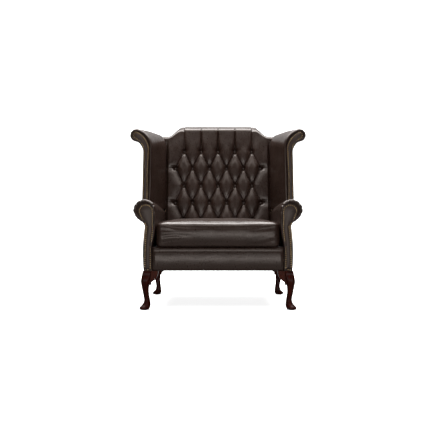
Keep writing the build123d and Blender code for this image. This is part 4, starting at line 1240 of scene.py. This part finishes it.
deckForm = {
    "low": 0.3143, "high": 0.3456, "half": 0.3642, "front": -0.3840, "gap": 0.0008, "edge": 0.006,
    "corner": 0.012, "quilt": 0.09, "sunk": 0.0016, "columns": 300,
}


def makeDeck():
    # thin felt pad under the cushion, quilted down in shallow rows
    form, columns = deckForm, deckForm["columns"]
    low, high, half, edge = form["low"], form["high"], form["half"], form["edge"]
    rear = framePlane(low) - form["gap"]
    middleY, halfY = (form["front"] + rear) / 2, (rear - form["front"]) / 2
    rings = [(0.03, low), (0.0015, low)]
    rings += [(edge * (1 - math.cos(k)), high - edge * (1 - math.sin(k)))
              for k in np.linspace(0, math.pi / 2, 7)]
    rings += [(draw, high) for draw in np.linspace(0.012, 0.30, 34)]
    points = np.zeros((len(rings), columns, 3))
    for row, (draw, z) in enumerate(rings):
        flat = roundedRing(half - draw, halfY - draw, form["corner"] + draw * 0.3, columns)
        quilted = form["sunk"] * np.cos(flat / form["quilt"] * 2 * math.pi).prod(1) ** 8
        points[row] = np.stack([flat[:, 0], middleY + flat[:, 1], z - quilted * (draw > 0.02) * (z > low)], 1)
    return outward(addMesh("deckPadQuilted", points, tubeFaces(len(rings), columns)))


dressed(makeDeck(), deckLining, "deck_pad")
print("deck pad made")


stitchForm = {"half": 0.306, "step": 0.0075, "long": 0.0046, "heights": (0.0095, 0.1215), "sides": 6,
              "flat": 0.9,
              # share of the length, and the thread's radius there
              "profile": [(-0.5, 0.00015), (-0.38, 0.00048), (0.38, 0.00048), (0.5, 0.00015)]}


def makeStitches(cover):
    # thread shows along both seams of the cushion's front
    form, sides, rings = stitchForm, stitchForm["sides"], len(stitchForm["profile"])
    surface = BVHTree.FromObject(cover, bpy.context.evaluated_depsgraph_get())
    points, faces = [], []
    for height in form["heights"]:
        level = cushionForm["low"] + height
        for x in np.arange(-form["half"], form["half"] + 0.0001, form["step"]):
            hit = surface.ray_cast(Vector((x, -0.6, level)), Vector((0, 1, 0)))[0]
            if hit is None:
                continue
            faces += tubeFaces(rings, sides, len(points))
            for share, radius in form["profile"]:
                for k in range(sides):
                    angle = k * 2 * math.pi / sides
                    points.append((x + share * form["long"], hit.y + radius * math.cos(angle) * form["flat"],
                                   level + radius * math.sin(angle)))
    return outward(addMesh("cushionStitches", points, faces, body="seat_cushion"))


finishWith(makeStitches(cushion), thread)
print("stitches made")


# Finishes of the CAD pieces, by the start of their names

finishes = [
    (mahogany, ("leg_front", "leg_rear", "knee_brackets")),
    (brass, ("arm_nails", "wing_nails")),
    (beech, ("front_rail", "rear_rail", "side_rail", "corner_blocks", "arm_post", "arm_rail", "back_post",
             "back_top_rail", "back_lower_rail", "wing_post", "wing_rail")),
    (steel, ("leg_bolts", "seat_springs", "spring_clips")),
    (jute, ("deck_cloth", "back_webbing")),
    (cambric, ("dust_cover",)),
    (foam, ("seat_cushion_core",)),
    (nylon, ("foot_glides",)),
    (hide, ("arm_pad", "wing_pad", "arm_facing", "wing_facing", "arm_outside", "wing_outside", "back_outside",
            "back_side", "front_border", "seat_cushion_cover", "deck_pad")),
]
for name, piece in nodes.items():
    for material, starts in finishes:
        if name.startswith(starts):
            piece.data.materials.clear()
            piece.data.materials.append(material)
    if name.startswith(("leg_", "knee")):
        smoothed(piece)
print("finishes given to the CAD pieces")


# Floor, backdrop, studio light and camera

studio = {"floorDark": (0.85, 0.85, 0.85), "floorLight": (0.86, 0.86, 0.86), "dimFloor": (0.16, 0.16, 0.16),
          "whiteLift": 0.85, "glossyLift": 0.05, "worldLevel": 0.02,
          # depth and height of the floor's run up into the backdrop
          "sweep": [(-9.0, 0.0), (2.2, 0.0), (2.8, 0.10), (3.2, 0.42), (3.4, 1.0), (3.45, 2.0), (3.45, 6.0)]}
# place, target, size and power of each lamp
softboxes = {"topSoftbox": ((0, 0.75, 3.5), (0, 0.2, 0), (4.4, 2.6), 410.0),
             "frontSoftbox": ((0, -5.2, 0.62), (0, 0, 0.45), (6.0, 0.8), 92.0),
             "leftSoftbox": ((-3.6, -1.2, 1.5), (0, 0, 0.6), (1.6, 2.4), 2.0),
             "rightSoftbox": ((3.6, -1.2, 1.5), (0, 0, 0.6), (1.6, 2.4), 2.0),
             "highSoftbox": ((0, -3.0, 4.2), (0, 0.2, 0.8), (6.0, 1.2), 95.0),
             "rearSoftbox": ((0, 2.9, 2.7), (0, 0.3, 0.9), (4.5, 1.4), 10.0)}


def makeStage():
    # pale sweep: floor that bends up into the backdrop
    path = resample(studio["sweep"], 60)
    xs = np.linspace(-9, 9, 19)
    points = np.array([[(x, y, z) for x in xs] for y, z in path])
    sweep = addMesh("paleSweep", points, gridFaces(len(path), len(xs)))
    material, tree, shader = newMaterial("paleFloor", {"Roughness": 0.85, "Specular IOR Level": 0.2})
    uneven = spread(tree, noise(tree, ownPlace(tree), 1.5, 2.0), 0.3, 0.7)
    seen = addNode(tree, "ShaderNodeLightPath").outputs
    pale = blendColor(tree, uneven, studio["floorDark"], studio["floorLight"])
    # the floor looks white and lights the object as a dim one, so the underside of each form stays dark
    floorColor = blendColor(tree, seen["Is Camera Ray"], studio["dimFloor"], pale)
    tree.links.new(floorColor, shader.inputs["Base Color"])
    inGloss = calc(tree, "MAXIMUM", seen["Is Glossy Ray"], seen["Is Transmission Ray"])
    lift = plus(tree, times(tree, seen["Is Camera Ray"], studio["whiteLift"]),
                times(tree, inGloss, studio["glossyLift"]))
    glow = addNode(tree, "ShaderNodeEmission", {"Color": (1, 1, 1, 1), "Strength": lift})
    both = addNode(tree, "ShaderNodeAddShader", {0: shader.outputs["BSDF"], 1: glow.outputs[0]})
    out = next(n for n in tree.nodes if n.bl_idname == "ShaderNodeOutputMaterial")
    tree.links.new(both.outputs[0], out.inputs["Surface"])
    sweep.data.materials.append(material)


def softbox(name, place, target, size, power):
    lamp = bpy.data.lights.new(name, "AREA")
    lamp.shape, lamp.size, lamp.size_y, lamp.energy = "RECTANGLE", size[0], size[1], power
    box = bpy.data.objects.new(name, lamp)
    bpy.context.collection.objects.link(box)
    box.location = place
    box.visible_camera = False
    box.rotation_euler = (Vector(target) - Vector(place)).to_track_quat("-Z", "Y").to_euler()


def makeWorld():
    # white where the camera sees it, dim as a light
    world = bpy.data.worlds.new("studioWorld")
    bpy.context.scene.world = world
    world.use_nodes = True
    tree = world.node_tree
    backdrop = world.node_tree.nodes["Background"].inputs
    seen = addNode(tree, "ShaderNodeLightPath").outputs["Is Camera Ray"]
    backdrop["Color"].default_value = (1, 1, 1, 1)
    tree.links.new(spread(tree, seen, 0.0, 1.0, studio["worldLevel"], 1.0), backdrop["Strength"])


makeStage()
for name, settings in softboxes.items():
    softbox(name, *settings)
makeWorld()

cameraForm = {"sensor": 36.0, "lens": 49.3, "place": (0.0, -3.69, 0.505), "tilt": 90}
camera = bpy.data.cameras.new("frontCamera")
camera.sensor_width, camera.lens = cameraForm["sensor"], cameraForm["lens"]
cameraObject = bpy.data.objects.new("frontCamera", camera)
bpy.context.collection.objects.link(cameraObject)
cameraObject.location = cameraForm["place"]
cameraObject.rotation_euler = (math.radians(cameraForm["tilt"]), 0, 0)
bpy.context.scene.camera = cameraObject
bpy.context.scene.view_settings.view_transform = "Standard"
print("studio and camera set")
